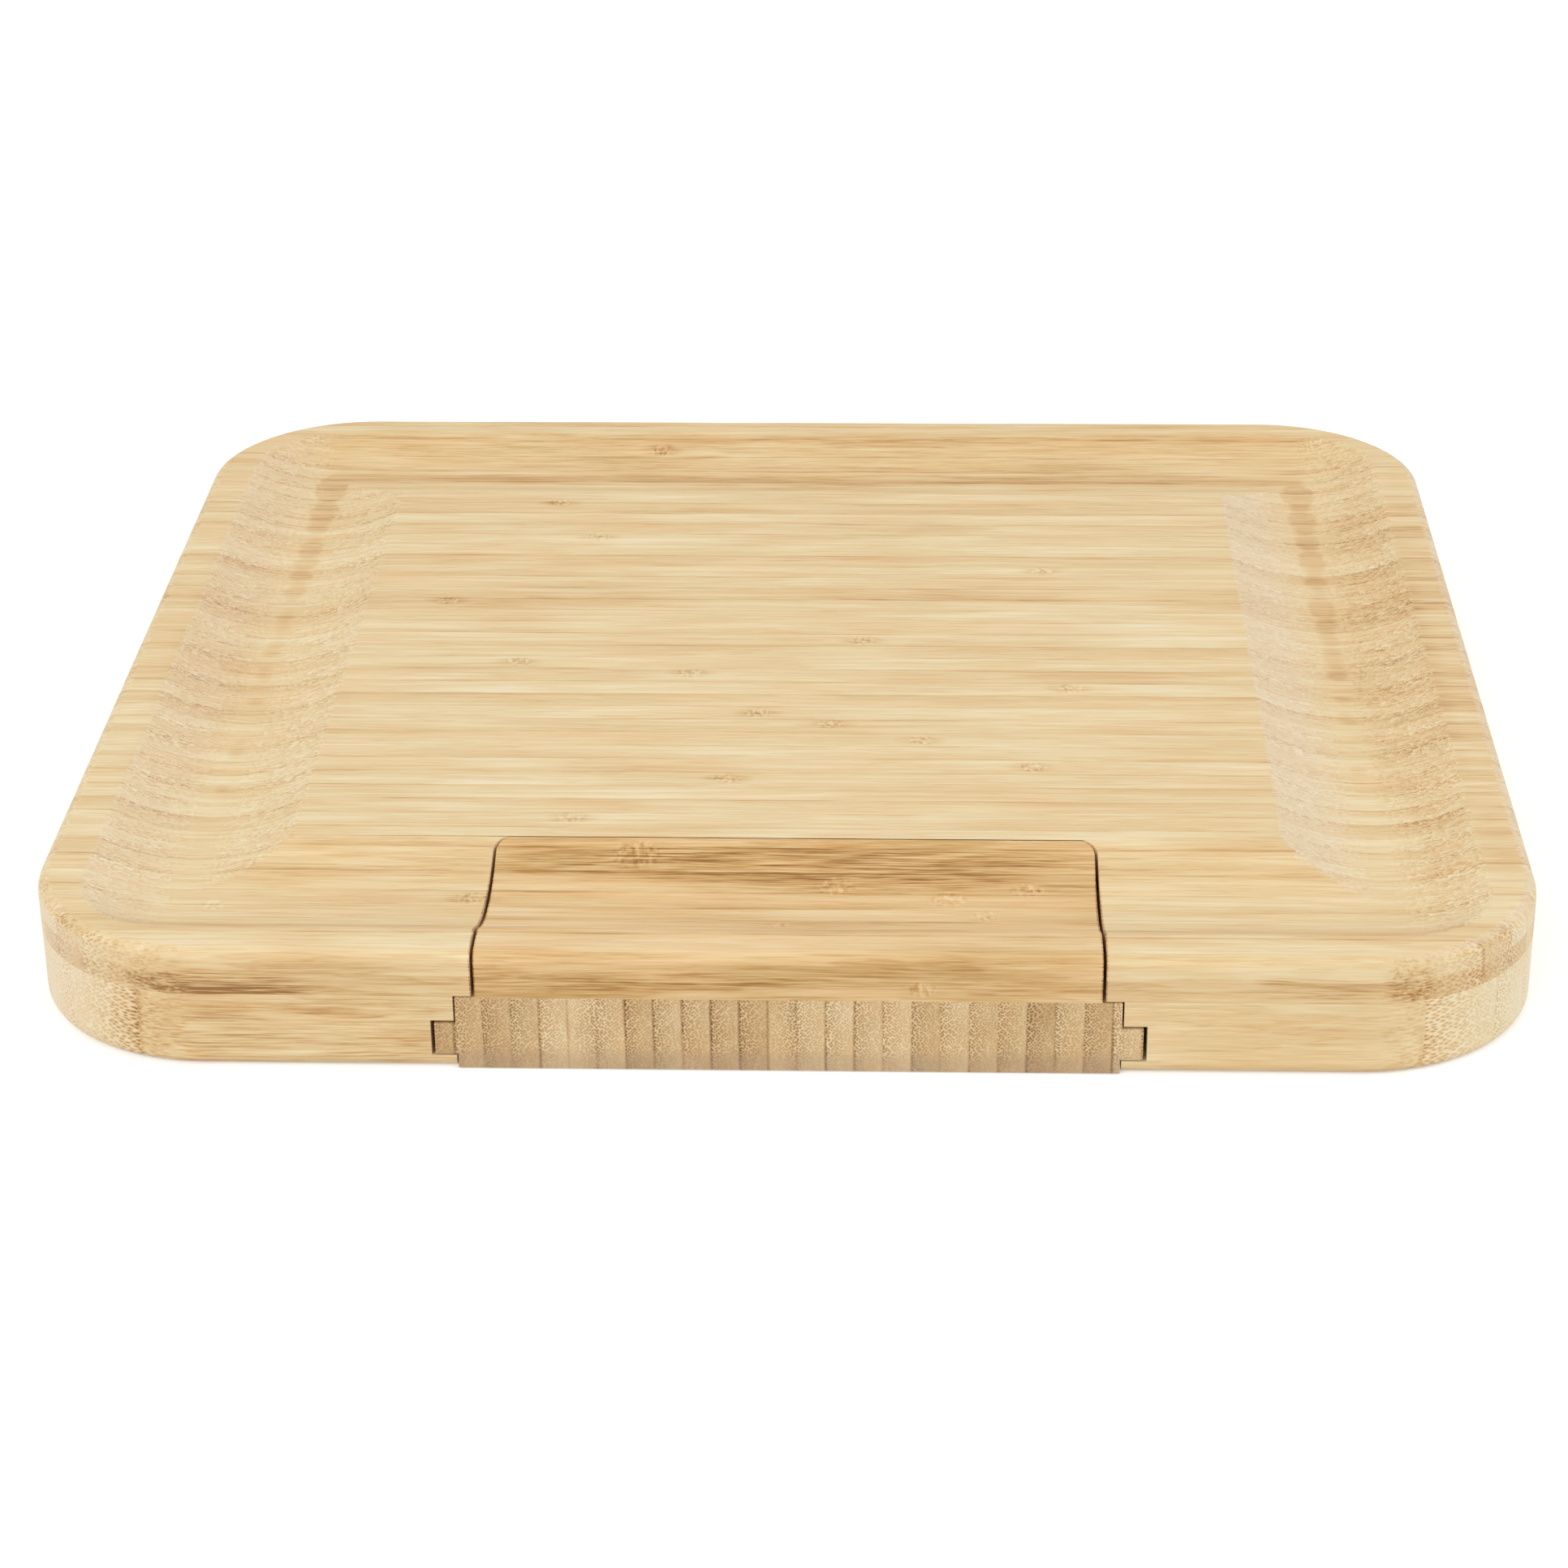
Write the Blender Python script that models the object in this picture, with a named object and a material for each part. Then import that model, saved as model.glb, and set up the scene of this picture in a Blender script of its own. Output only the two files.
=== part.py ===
"""Bamboo serving board with a drawer that slides out of its front edge.

Units are metres and +Z is up. The board lies on its underside with the middle
of its outline on the origin, and the drawer opens towards -Y. Two glued bamboo
panels make the board. The upper one carries a shallow trough all round, and
the drawer's front block repeats the same profile, so that the closed drawer
carries the trough and the rim on without a break. The drawer holds a set of
cheese tools in milled pockets.
"""

import math

import bmesh
import bpy

# Board
BOARD_WIDTH = 0.340
BOARD_DEPTH = 0.320
BOARD_HEIGHT = 0.0292
CORNER_RADIUS = 0.042
EDGE_ROUND = 0.003
BASE_THICKNESS = 0.0183
GLUE_GAP = 0.0002

# Trough round the top
TROUGH_INSET = 0.0335
TROUGH_WIDTH = 0.044
TROUGH_DEPTH = 0.0055

# Drawer front block and the notch that it fills in the upper panel
DRAWER_OFF_CENTRE = 0.0023
BLOCK_WIDTH = 0.138
BLOCK_SIDE_GAP = 0.0004
BLOCK_BACK_GAP = 0.0003
NOTCH_CORNER = 0.0038

# Drawer plate and the channel that it slides in
PLATE_DEPTH = 0.236
PLATE_WIDTH = 0.1464
PLATE_FOOT_WIDTH = 0.1459
PLATE_LIFT = 0.0003
PLATE_TOP_GAP = 0.00045
PLATE_SIDE_GAP = 0.0004
PLATE_FOOT_GAP = 0.0003
PLATE_END_GAP = 0.0004
LIP_THICKNESS = 0.0034
TONGUE_REACH = 0.00475
TONGUE_HEIGHT = 0.0077
TONGUE_SEAT_GAP = 0.0003
TONGUE_TOP_GAP = 0.00075
TONGUE_TIP_GAP = 0.00085
DRAWER_TRAVEL = 0.165

# Stop pins, fixed in the upper panel, and the drawer's grooves for them
PIN_DIAMETER = 0.004
PIN_GRIP = 0.006
PIN_REACH = 0.0036
PIN_HOLE_GAP = 0.0003
PIN_SETBACK = 0.0074
PIN_FROM_EDGE = 0.0068
PIN_RUN_GAP = 0.0006
PIN_TIP_GAP = 0.0003

# Magnets that hold the drawer shut
MAGNET_DIAMETER = 0.008
MAGNET_THICKNESS = 0.003
MAGNET_HOLE_GAP = 0.0003
MAGNET_HEIGHT = 0.009

# Pockets for the tools, which share the width that the plate's side walls and ribs leave
POCKET_COUNT = 4
PLATE_WALL = 0.0134
POCKET_RIB = 0.0052
POCKET_DEPTH = 0.0118
POCKET_CORNER = 0.006
POCKET_END_GAP = 0.003
POCKET_SETBACK = 0.006
SCOOP_RADIUS = 0.016
SCOOP_DEPTH = 0.013
SCOOP_SETBACK = 0.040

# Cheese tools, whose blades take their widths from the pocket's
TOOL_REST_GAP = 0.0003
HANDLE_LENGTH = 0.075
HANDLE_WIDTH = 0.0135
HANDLE_HEIGHT = 0.009
FERRULE_LENGTH = 0.009
FERRULE_GAP = 0.0003
NECK_LENGTH = 0.007
NECK_DIAMETER = 0.0042
TANG_DEPTH = 0.020
TANG_GAP = 0.0003
BLADE_THICKNESS = 0.0016
BLADE_GRIND = 0.0022
BLADE_LENGTH = 0.057
BLADE_OVERLAP = 0.002
CLEAVER_CLEARANCE = 0.00175
SPADE_CLEARANCE = 0.0020
SPREADER_WIDTH_SHARE = 0.635
FORK_WIDTH_SHARE = 0.54
FORK_SLOT_SHARE = 0.36
FORK_SLOT_LENGTH = 0.038

# Making
OVERRUN = 0.004
WELD = 0.00001
CORNER_STEPS = 14
ROUND_STEPS = 5
TROUGH_STEPS = 16
TROUGH_CORNER_STEPS = 10
SMALL_STEPS = 6
OVAL_STEPS = 20
CIRCLE_STEPS = 24
SCOOP_STEPS = 40
SMOOTH_ANGLE_DEG = 35

# Worked out from the sizes above
FRONT_Y = -BOARD_DEPTH / 2
TOP_PANEL_Z = BASE_THICKNESS + GLUE_GAP
BLOCK_DEPTH = TROUGH_INSET + TROUGH_WIDTH / 2 - BLOCK_BACK_GAP
NOTCH_WIDTH = BLOCK_WIDTH + 2 * BLOCK_SIDE_GAP
NOTCH_BACK_Y = FRONT_Y + BLOCK_DEPTH + BLOCK_BACK_GAP
PLATE_TOP_Z = TOP_PANEL_Z - PLATE_TOP_GAP
PLATE_BACK_Y = FRONT_Y + PLATE_DEPTH
CHANNEL_WIDTH = PLATE_WIDTH + 2 * PLATE_SIDE_GAP
CHANNEL_BACK_Y = PLATE_BACK_Y + PLATE_END_GAP
TONGUE_Z = LIP_THICKNESS + TONGUE_SEAT_GAP
TONGUE_TOP_Z = TONGUE_Z + TONGUE_HEIGHT
GROOVE_TOP_Z = TONGUE_TOP_Z + TONGUE_TOP_GAP
TONGUE_SPAN = PLATE_WIDTH + 2 * TONGUE_REACH
GROOVE_SPAN = TONGUE_SPAN + 2 * TONGUE_TIP_GAP
PIN_X = PLATE_WIDTH / 2 - PIN_FROM_EDGE
PIN_Y = NOTCH_BACK_Y + PIN_SETBACK
TOOL_LENGTH = HANDLE_LENGTH + FERRULE_LENGTH + FERRULE_GAP + NECK_LENGTH + BLADE_LENGTH
POCKET_LENGTH = TOOL_LENGTH + 2 * POCKET_END_GAP
POCKET_WIDTH = (PLATE_WIDTH - 2 * PLATE_WALL - (POCKET_COUNT - 1) * POCKET_RIB) / POCKET_COUNT
POCKET_PITCH = POCKET_WIDTH + POCKET_RIB
CLEAVER_WIDTH = POCKET_WIDTH - 2 * CLEAVER_CLEARANCE
SPADE_WIDTH = POCKET_WIDTH - 2 * SPADE_CLEARANCE
SPREADER_WIDTH = SPREADER_WIDTH_SHARE * POCKET_WIDTH
FORK_WIDTH = FORK_WIDTH_SHARE * POCKET_WIDTH
FORK_SLOT_WIDTH = FORK_SLOT_SHARE * FORK_WIDTH
POCKET_FRONT_Y = FRONT_Y + BLOCK_DEPTH + POCKET_SETBACK
POCKET_FLOOR_Z = PLATE_TOP_Z - POCKET_DEPTH
TOOL_Z = POCKET_FLOOR_Z + TOOL_REST_GAP + HANDLE_HEIGHT / 2
TOOL_Y = POCKET_FRONT_Y + POCKET_END_GAP + HANDLE_LENGTH

# Handle stations: share of the length from the ferrule, shares of the width and height
HANDLE_SHARES = (
    (0.00, 0.74, 0.86), (0.08, 0.80, 0.92), (0.25, 0.92, 1.00), (0.45, 0.88, 0.97),
    (0.65, 0.92, 0.98), (0.82, 1.00, 1.00), (0.93, 0.93, 0.94), (0.985, 0.72, 0.74), (1.00, 0.48, 0.50),
)
# Ferrule stations: share of the length from the handle, share of the handle's end section
FERRULE_SHARES = ((0.00, 1.00), (0.30, 1.00), (0.80, 0.84), (1.00, 0.74))
# Blade stations: share of the length from the neck, share of the half width
CLEAVER_SHARES = (
    (0.00, 0.26), (0.07, 0.42), (0.15, 0.86), (0.21, 1.00), (0.60, 0.98), (0.94, 0.95), (1.00, 0.86),
)
SPADE_SHARES = (
    (0.00, 0.26), (0.08, 0.50), (0.18, 0.88), (0.28, 1.00), (0.42, 0.96),
    (0.58, 0.78), (0.74, 0.52), (0.88, 0.26), (1.00, 0.05),
)
SPREADER_SHARES = (
    (0.00, 0.34), (0.10, 0.44), (0.26, 0.66), (0.48, 0.90), (0.68, 1.00),
    (0.84, 0.90), (0.94, 0.62), (1.00, 0.24),
)
FORK_SHARES = (
    (0.00, 0.40), (0.09, 0.60), (0.20, 0.94), (0.28, 1.00), (0.60, 0.96), (0.85, 0.88), (1.00, 0.66),
)
LEAST_FLAT_SHARE = 0.4


def linear(channel):
    """One sRGB channel, 0 to 1, as the linear value that shaders use."""
    return channel / 12.92 if channel <= 0.04045 else ((channel + 0.055) / 1.055) ** 2.4


def make_material(name, hex_colour, roughness, metallic=0.0):
    """A Principled material of one colour, roughness and metallic value."""
    material = bpy.data.materials.new(name)
    material.use_nodes = True
    shader = material.node_tree.nodes["Principled BSDF"]
    channels = [linear(int(hex_colour[i:i + 2], 16) / 255) for i in (1, 3, 5)]
    shader.inputs["Base Color"].default_value = (*channels, 1.0)
    shader.inputs["Roughness"].default_value = roughness
    shader.inputs["Metallic"].default_value = metallic
    material.diffuse_color = (*channels, 1.0)
    return material


def clear_scene():
    """Remove every object that the file opened with."""
    for item in list(bpy.data.objects):
        bpy.data.objects.remove(item, do_unlink=True)


def add_empty(name, location, parent=None):
    """An empty that carries the pieces of one moving or lifted-out group."""
    empty = bpy.data.objects.new(name, None)
    empty.location = location
    empty.parent = parent
    bpy.context.scene.collection.objects.link(empty)
    return empty


def add_piece(name, shape, location=(0, 0, 0), parent=None, material=None):
    """Turn a bmesh into a named object, with its faces out and its round sides smooth."""
    bmesh.ops.recalc_face_normals(shape, faces=shape.faces)
    mesh = bpy.data.meshes.new(name)
    shape.to_mesh(mesh)
    shape.free()
    mesh.shade_smooth()
    mesh.set_sharp_from_angle(angle=math.radians(SMOOTH_ANGLE_DEG))
    piece = bpy.data.objects.new(name, mesh)
    piece.location = location
    piece.parent = parent
    if material:
        mesh.materials.append(material)
    bpy.context.scene.collection.objects.link(piece)
    return piece


def add_cutter(name, shape, location=(0, 0, 0), parent=None):
    """A hidden wire object that only shapes others."""
    cutter = add_piece(name, shape, location, parent)
    cutter.hide_render = True
    cutter.display_type = "WIRE"
    return cutter


def apply_cutter(piece, cutter, operation="DIFFERENCE"):
    """Add an exact Boolean to a piece."""
    modifier = piece.modifiers.new(cutter.name, "BOOLEAN")
    modifier.operation = operation
    modifier.solver = "EXACT"
    modifier.object = cutter


def shell(rings):
    """Bridge equal rings of points into one closed shell with a face on each end."""
    shape = bmesh.new()
    loops = [[shape.verts.new(point) for point in ring] for ring in rings]
    count = len(loops[0])
    for near, far in zip(loops, loops[1:]):
        for i in range(count):
            j = (i + 1) % count
            shape.faces.new((near[i], near[j], far[j], far[i]))
    shape.faces.new(list(reversed(loops[0])))
    shape.faces.new(loops[-1])
    return shape


def upright(outline, low, high):
    """A prism along Z on an outline of (x, y) points."""
    return shell([[(x, y, z) for x, y in outline] for z in (low, high)])


def lengthwise(outline, start, end):
    """A prism along Y on an outline of (x, z) points."""
    return shell([[(x, y, z) for x, z in outline] for y in (start, end)])


def arc(centre, radius, start_deg, end_deg, steps):
    """Points of a circular arc, both ends included."""
    turn = (end_deg - start_deg) / steps
    angles = [math.radians(start_deg + turn * i) for i in range(steps + 1)]
    return [(centre[0] + radius * math.cos(a), centre[1] + radius * math.sin(a)) for a in angles]


def rounded_rectangle(half_width, half_depth, radius, steps):
    """A rectangle with round corners, centred on the origin."""
    points = []
    for quarter, (side_x, side_y) in enumerate(((1, 1), (-1, 1), (-1, -1), (1, -1))):
        centre = (side_x * (half_width - radius), side_y * (half_depth - radius))
        points += arc(centre, radius, 90 * quarter, 90 * quarter + 90, steps)
    return points


def circle(diameter, steps=CIRCLE_STEPS):
    """A closed circle of points round the origin."""
    return arc((0, 0), diameter / 2, 0, 360, steps)[:-1]


def spline(before, start, end, after, t):
    """A value t of the way from start to end on a smooth curve through four values."""
    bend = 2 * before - 5 * start + 4 * end - after
    twist = 3 * start - before - 3 * end + after
    return start + (t * (end - before) + t ** 2 * bend + t ** 3 * twist) / 2


def smooth_stations(shares, steps):
    """Read a smooth curve through stations of shares, so that a lofted piece has no corners."""
    stations = []
    for i in range(len(shares) - 1):
        near = (shares[max(i - 1, 0)], shares[i], shares[i + 1], shares[min(i + 2, len(shares) - 1)])
        for step in range(steps):
            stations.append(tuple(spline(*values, step / steps) for values in zip(*near)))
    return stations + [shares[-1]]


def panel(low, high, low_round, high_round):
    """The board's rounded outline between two heights, with its edges rounded over."""
    def ring(inset, z):
        outline = rounded_rectangle(
            BOARD_WIDTH / 2 - inset, BOARD_DEPTH / 2 - inset, CORNER_RADIUS - inset, CORNER_STEPS
        )
        return [(x, y, z) for x, y in outline]

    turns = [math.radians(90 * i / ROUND_STEPS) for i in range(ROUND_STEPS + 1)]
    fall = [(1 - math.sin(a), 1 - math.cos(a)) for a in turns]
    if low_round:
        rings = [ring(low_round * inward, low + low_round * up) for inward, up in fall]
    else:
        rings = [ring(0, low)]
    if high_round:
        rings += [ring(high_round * inward, high - high_round * down) for down, inward in fall]
    else:
        rings.append(ring(0, high))
    return shell(rings)


def trough_shape():
    """The space of the trough: a round-bottomed section carried round a rectangle.

    The cutter turns round each corner of its path, so the trough is round at
    its outer corners and mitred at its inner ones.
    """
    half = TROUGH_WIDTH / 2
    radius = (half ** 2 + TROUGH_DEPTH ** 2) / (2 * TROUGH_DEPTH)
    spread = math.asin(half / radius)
    bottom_z = BOARD_HEIGHT - TROUGH_DEPTH
    section = []
    for i in range(TROUGH_STEPS + 1):
        angle = spread * (2 * i / TROUGH_STEPS - 1)
        section.append((radius * math.sin(angle), bottom_z + radius * (1 - math.cos(angle))))
    section += [(half, BOARD_HEIGHT + OVERRUN), (-half, BOARD_HEIGHT + OVERRUN)]

    shape = bmesh.new()
    path_x, path_y = BOARD_WIDTH / 2 - TROUGH_INSET, BOARD_DEPTH / 2 - TROUGH_INSET
    loops = []
    for offset, z in section:
        inward, outward = min(offset, 0), max(offset, 0)
        outline = rounded_rectangle(
            path_x + inward + outward, path_y + inward + outward, outward, TROUGH_CORNER_STEPS
        )
        loops.append([shape.verts.new((x, y, z)) for x, y in outline])
    count = len(loops[0])
    for near, far in zip(loops, loops[1:] + loops[:1]):
        for i in range(count):
            j = (i + 1) % count
            shape.faces.new((near[i], near[j], far[j], far[i]))
    bmesh.ops.remove_doubles(shape, verts=shape.verts, dist=WELD)
    return shape


def notch_outline(width, back_y, corner):
    """The front block's outline, open past the board's front, with round back corners."""
    half = width / 2
    back = (
        arc((half - corner, back_y - corner), corner, 0, 90, SMALL_STEPS)
        + arc((corner - half, back_y - corner), corner, 90, 180, SMALL_STEPS)
    )
    return back + [(-half, FRONT_Y - OVERRUN), (half, FRONT_Y - OVERRUN)]


def channel_outline():
    """The channel's section: the slot between the lips, the side grooves and the slot above them."""
    foot = PLATE_FOOT_WIDTH / 2 + PLATE_FOOT_GAP
    groove, side = GROOVE_SPAN / 2, CHANNEL_WIDTH / 2
    right = [
        (foot, -OVERRUN), (foot, LIP_THICKNESS), (groove, LIP_THICKNESS), (groove, GROOVE_TOP_Z),
        (side, GROOVE_TOP_Z), (side, BASE_THICKNESS + OVERRUN),
    ]
    return right + [(-x, z) for x, z in reversed(right)]


def plate_outline():
    """The drawer plate's section: its foot, its tongues and its full width above them."""
    foot, tongue, side = PLATE_FOOT_WIDTH / 2, TONGUE_SPAN / 2, PLATE_WIDTH / 2
    right = [
        (foot, PLATE_LIFT), (foot, TONGUE_Z), (tongue, TONGUE_Z), (tongue, TONGUE_TOP_Z),
        (side, TONGUE_TOP_Z), (side, PLATE_TOP_Z),
    ]
    return right + [(-x, z) for x, z in reversed(right)]


def moved(outline, x, y):
    """An outline carried by x and y."""
    return [(px + x, py + y) for px, py in outline]


def pocket_x(index):
    """The middle of one pocket across the drawer."""
    return POCKET_PITCH * (index - (POCKET_COUNT - 1) / 2)


def build_board(material, pin_material, magnet_material):
    """The two glued panels, the stop pins and the magnet behind the drawer."""
    base = add_piece("base_panel", panel(0, BASE_THICKNESS, EDGE_ROUND, 0), material=material)
    channel = lengthwise(channel_outline(), FRONT_Y - OVERRUN, CHANNEL_BACK_Y)
    apply_cutter(base, add_cutter("channel_cut", channel, (DRAWER_OFF_CENTRE, 0, 0)))
    magnet_hole = lengthwise(
        circle(MAGNET_DIAMETER + 2 * MAGNET_HOLE_GAP),
        CHANNEL_BACK_Y - PLATE_END_GAP / 2, CHANNEL_BACK_Y + MAGNET_THICKNESS + MAGNET_HOLE_GAP,
    )
    apply_cutter(base, add_cutter("board_magnet_cut", magnet_hole, (DRAWER_OFF_CENTRE, 0, MAGNET_HEIGHT)))

    top = add_piece("top_panel", panel(TOP_PANEL_Z, BOARD_HEIGHT, 0, EDGE_ROUND), material=material)
    trough = add_cutter("trough_cut", trough_shape())
    apply_cutter(top, trough)
    notch = upright(
        notch_outline(NOTCH_WIDTH, NOTCH_BACK_Y, NOTCH_CORNER), TOP_PANEL_Z - OVERRUN, BOARD_HEIGHT + OVERRUN
    )
    apply_cutter(top, add_cutter("notch_cut", notch, (DRAWER_OFF_CENTRE, 0, 0)))

    for side, name in ((-1, "left"), (1, "right")):
        place = (DRAWER_OFF_CENTRE + side * PIN_X, PIN_Y, TOP_PANEL_Z)
        hole = upright(circle(PIN_DIAMETER + 2 * PIN_HOLE_GAP), -OVERRUN, PIN_GRIP + PIN_HOLE_GAP)
        apply_cutter(top, add_cutter(f"pin_hole_{name}", hole, place))
        pin = upright(circle(PIN_DIAMETER), -PIN_REACH, PIN_GRIP)
        add_piece(f"stop_pin_{name}", pin, place, material=pin_material)

    magnet = lengthwise(circle(MAGNET_DIAMETER), 0, MAGNET_THICKNESS)
    add_piece(
        "magnet_board", magnet, (DRAWER_OFF_CENTRE, CHANNEL_BACK_Y, MAGNET_HEIGHT), material=magnet_material
    )
    return trough


def build_drawer(slide, trough, plate_material, block_material, magnet_material):
    """The plate with its tongues and pockets, and the block that continues the rim."""
    blank = lengthwise(plate_outline(), FRONT_Y, PLATE_BACK_Y)
    plate = add_piece("drawer_plate", blank, parent=slide, material=plate_material)
    top = PLATE_TOP_Z + OVERRUN
    pocket = rounded_rectangle(POCKET_WIDTH / 2, POCKET_LENGTH / 2, POCKET_CORNER, SMALL_STEPS)
    pocket_y = POCKET_FRONT_Y + POCKET_LENGTH / 2
    for index in range(POCKET_COUNT):
        shape = upright(moved(pocket, pocket_x(index), pocket_y), POCKET_FLOOR_Z, top)
        apply_cutter(plate, add_cutter(f"pocket_cut_{index + 1}", shape, parent=slide))

    scoop_half = pocket_x(POCKET_COUNT - 1) + POCKET_WIDTH / 2
    scoop_y = POCKET_FRONT_Y + SCOOP_SETBACK
    scoop_z = PLATE_TOP_Z - SCOOP_DEPTH + SCOOP_RADIUS
    rim = moved(circle(2 * SCOOP_RADIUS, SCOOP_STEPS), scoop_y, scoop_z)
    scoop = shell([[(x, y, z) for y, z in rim] for x in (-scoop_half, scoop_half)])
    apply_cutter(plate, add_cutter("scoop_cut", scoop, parent=slide))

    groove_half = PIN_DIAMETER / 2 + PIN_RUN_GAP
    groove_depth = PIN_REACH - PLATE_TOP_GAP + PIN_TIP_GAP
    groove_long = DRAWER_TRAVEL / 2 + groove_half
    groove = rounded_rectangle(groove_half, groove_long, groove_half, SMALL_STEPS)
    for side, name in ((-1, "left"), (1, "right")):
        shape = upright(
            moved(groove, side * PIN_X, PIN_Y + DRAWER_TRAVEL / 2), PLATE_TOP_Z - groove_depth, top
        )
        apply_cutter(plate, add_cutter(f"groove_cut_{name}", shape, parent=slide))

    hole = lengthwise(
        circle(MAGNET_DIAMETER + 2 * MAGNET_HOLE_GAP), -MAGNET_THICKNESS - MAGNET_HOLE_GAP, PLATE_END_GAP / 2
    )
    place = (0, PLATE_BACK_Y, MAGNET_HEIGHT)
    apply_cutter(plate, add_cutter("drawer_magnet_cut", hole, place, slide))
    magnet = lengthwise(circle(MAGNET_DIAMETER), -MAGNET_THICKNESS, 0)
    add_piece("magnet_drawer", magnet, place, slide, magnet_material)

    block_z = PLATE_TOP_Z + GLUE_GAP
    block = add_piece(
        "drawer_front", panel(block_z, BOARD_HEIGHT, 0, EDGE_ROUND),
        (-DRAWER_OFF_CENTRE, 0, 0), slide, block_material,
    )
    apply_cutter(block, trough)
    keep = upright(
        notch_outline(BLOCK_WIDTH, NOTCH_BACK_Y - BLOCK_BACK_GAP, NOTCH_CORNER - BLOCK_BACK_GAP),
        block_z - OVERRUN, BOARD_HEIGHT + OVERRUN,
    )
    apply_cutter(block, add_cutter("block_keep", keep, parent=slide), "INTERSECT")


def oval(width, height, y):
    """An oval ring of points square to Y."""
    angles = [2 * math.pi * i / OVAL_STEPS for i in range(OVAL_STEPS)]
    return [(width / 2 * math.cos(a), y, height / 2 * math.sin(a)) for a in angles]


def blade_shape(width, shares):
    """A flat blade along +Y, ground thin at both edges, with its neck and tang."""
    rings = []
    for along, across in smooth_stations(shares, 3):
        half = across * width / 2
        flat = max(half - BLADE_GRIND, half * LEAST_FLAT_SHARE)
        y = FERRULE_LENGTH + FERRULE_GAP + NECK_LENGTH + along * BLADE_LENGTH
        thick = BLADE_THICKNESS / 2
        rings.append([
            (-half, y, 0), (-flat, y, -thick), (flat, y, -thick),
            (half, y, 0), (flat, y, thick), (-flat, y, thick),
        ])
    return shell(rings)


def build_tool(name, parent, width, shares, handle_material, steel):
    """One cheese tool along +Y: its handle, ferrule and blade, with the tang inside the handle."""
    handle_rings = [
        oval(HANDLE_WIDTH * across, HANDLE_HEIGHT * up, -HANDLE_LENGTH * along)
        for along, across, up in smooth_stations(HANDLE_SHARES, 2)
    ]
    handle = add_piece(f"{name}_handle", shell(handle_rings), parent=parent, material=handle_material)
    bore = lengthwise(
        circle(NECK_DIAMETER + 2 * TANG_GAP), -TANG_DEPTH - TANG_GAP, FERRULE_LENGTH + FERRULE_GAP + OVERRUN
    )
    bore_cut = add_cutter(f"{name}_bore_cut", bore, parent=parent)
    apply_cutter(handle, bore_cut)

    _, across, up = HANDLE_SHARES[0]
    ferrule_rings = [
        oval(HANDLE_WIDTH * across * share, HANDLE_HEIGHT * up * share, FERRULE_GAP + FERRULE_LENGTH * along)
        for along, share in FERRULE_SHARES
    ]
    ferrule = add_piece(f"{name}_ferrule", shell(ferrule_rings), parent=parent, material=steel)
    apply_cutter(ferrule, bore_cut)

    blade = add_piece(f"{name}_blade", blade_shape(width, shares), parent=parent, material=steel)
    neck = lengthwise(
        circle(NECK_DIAMETER), -TANG_DEPTH, FERRULE_LENGTH + FERRULE_GAP + NECK_LENGTH + BLADE_OVERLAP
    )
    apply_cutter(blade, add_cutter(f"{name}_neck", neck, parent=parent), "UNION")
    return blade


def build_tools(slide, handle_material, steel):
    """The four cheese tools, each lying in its pocket with its handle towards the front."""
    tools = (
        ("cleaver", CLEAVER_WIDTH, CLEAVER_SHARES), ("spade", SPADE_WIDTH, SPADE_SHARES),
        ("fork", FORK_WIDTH, FORK_SHARES), ("spreader", SPREADER_WIDTH, SPREADER_SHARES),
    )
    blades = {}
    for index, (name, width, shares) in enumerate(tools):
        rest = add_empty(f"{name}_rest", (pocket_x(index), TOOL_Y, TOOL_Z), slide)
        blades[name] = build_tool(name, rest, width, shares, handle_material, steel)

    tip_y = FERRULE_LENGTH + FERRULE_GAP + NECK_LENGTH + BLADE_LENGTH
    slot_half = FORK_SLOT_WIDTH / 2
    slot = [(slot_half, tip_y + OVERRUN), (-slot_half, tip_y + OVERRUN)]
    slot += arc((0, tip_y - FORK_SLOT_LENGTH + slot_half), slot_half, 180, 360, SMALL_STEPS)
    cutter = add_cutter("fork_slot_cut", upright(slot, -OVERRUN, OVERRUN), parent=blades["fork"].parent)
    apply_cutter(blades["fork"], cutter)


def main():
    clear_scene()
    panel_bamboo = make_material("bamboo_panel", "#E7CEA3", 0.55)
    plate_bamboo = make_material("bamboo_end_grain", "#CDAD81", 0.62)
    block_bamboo = make_material("bamboo_block", "#DDBD8B", 0.55)
    handle_bamboo = make_material("bamboo_handle", "#DDBB83", 0.5)
    steel = make_material("stainless_steel", "#C9CACB", 0.28, 1.0)
    pin_steel = make_material("pin_steel", "#B4B6B8", 0.35, 1.0)
    nickel = make_material("nickel_plate", "#D0CDC6", 0.22, 1.0)

    trough = build_board(panel_bamboo, pin_steel, nickel)
    slide = add_empty("drawer_slide", (DRAWER_OFF_CENTRE, 0, 0))
    build_drawer(slide, trough, plate_bamboo, block_bamboo, nickel)
    build_tools(slide, handle_bamboo, steel)


main()
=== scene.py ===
# %% [markdown]
# # A bamboo serving board with a drawer
#
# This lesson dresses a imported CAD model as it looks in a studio: a square bamboo board for
# cheese, with a shallow trough all round its top and a drawer that closes flush with its front
# edge. The CAD model gives every size and place. What is made here are smooth wooden pieces
# with their grain, the steel of the tools, a camera, a floor and soft light.

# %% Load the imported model
import math
from functools import partial
from types import SimpleNamespace

import bmesh
import bpy
from mathutils import Matrix, Vector


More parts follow.
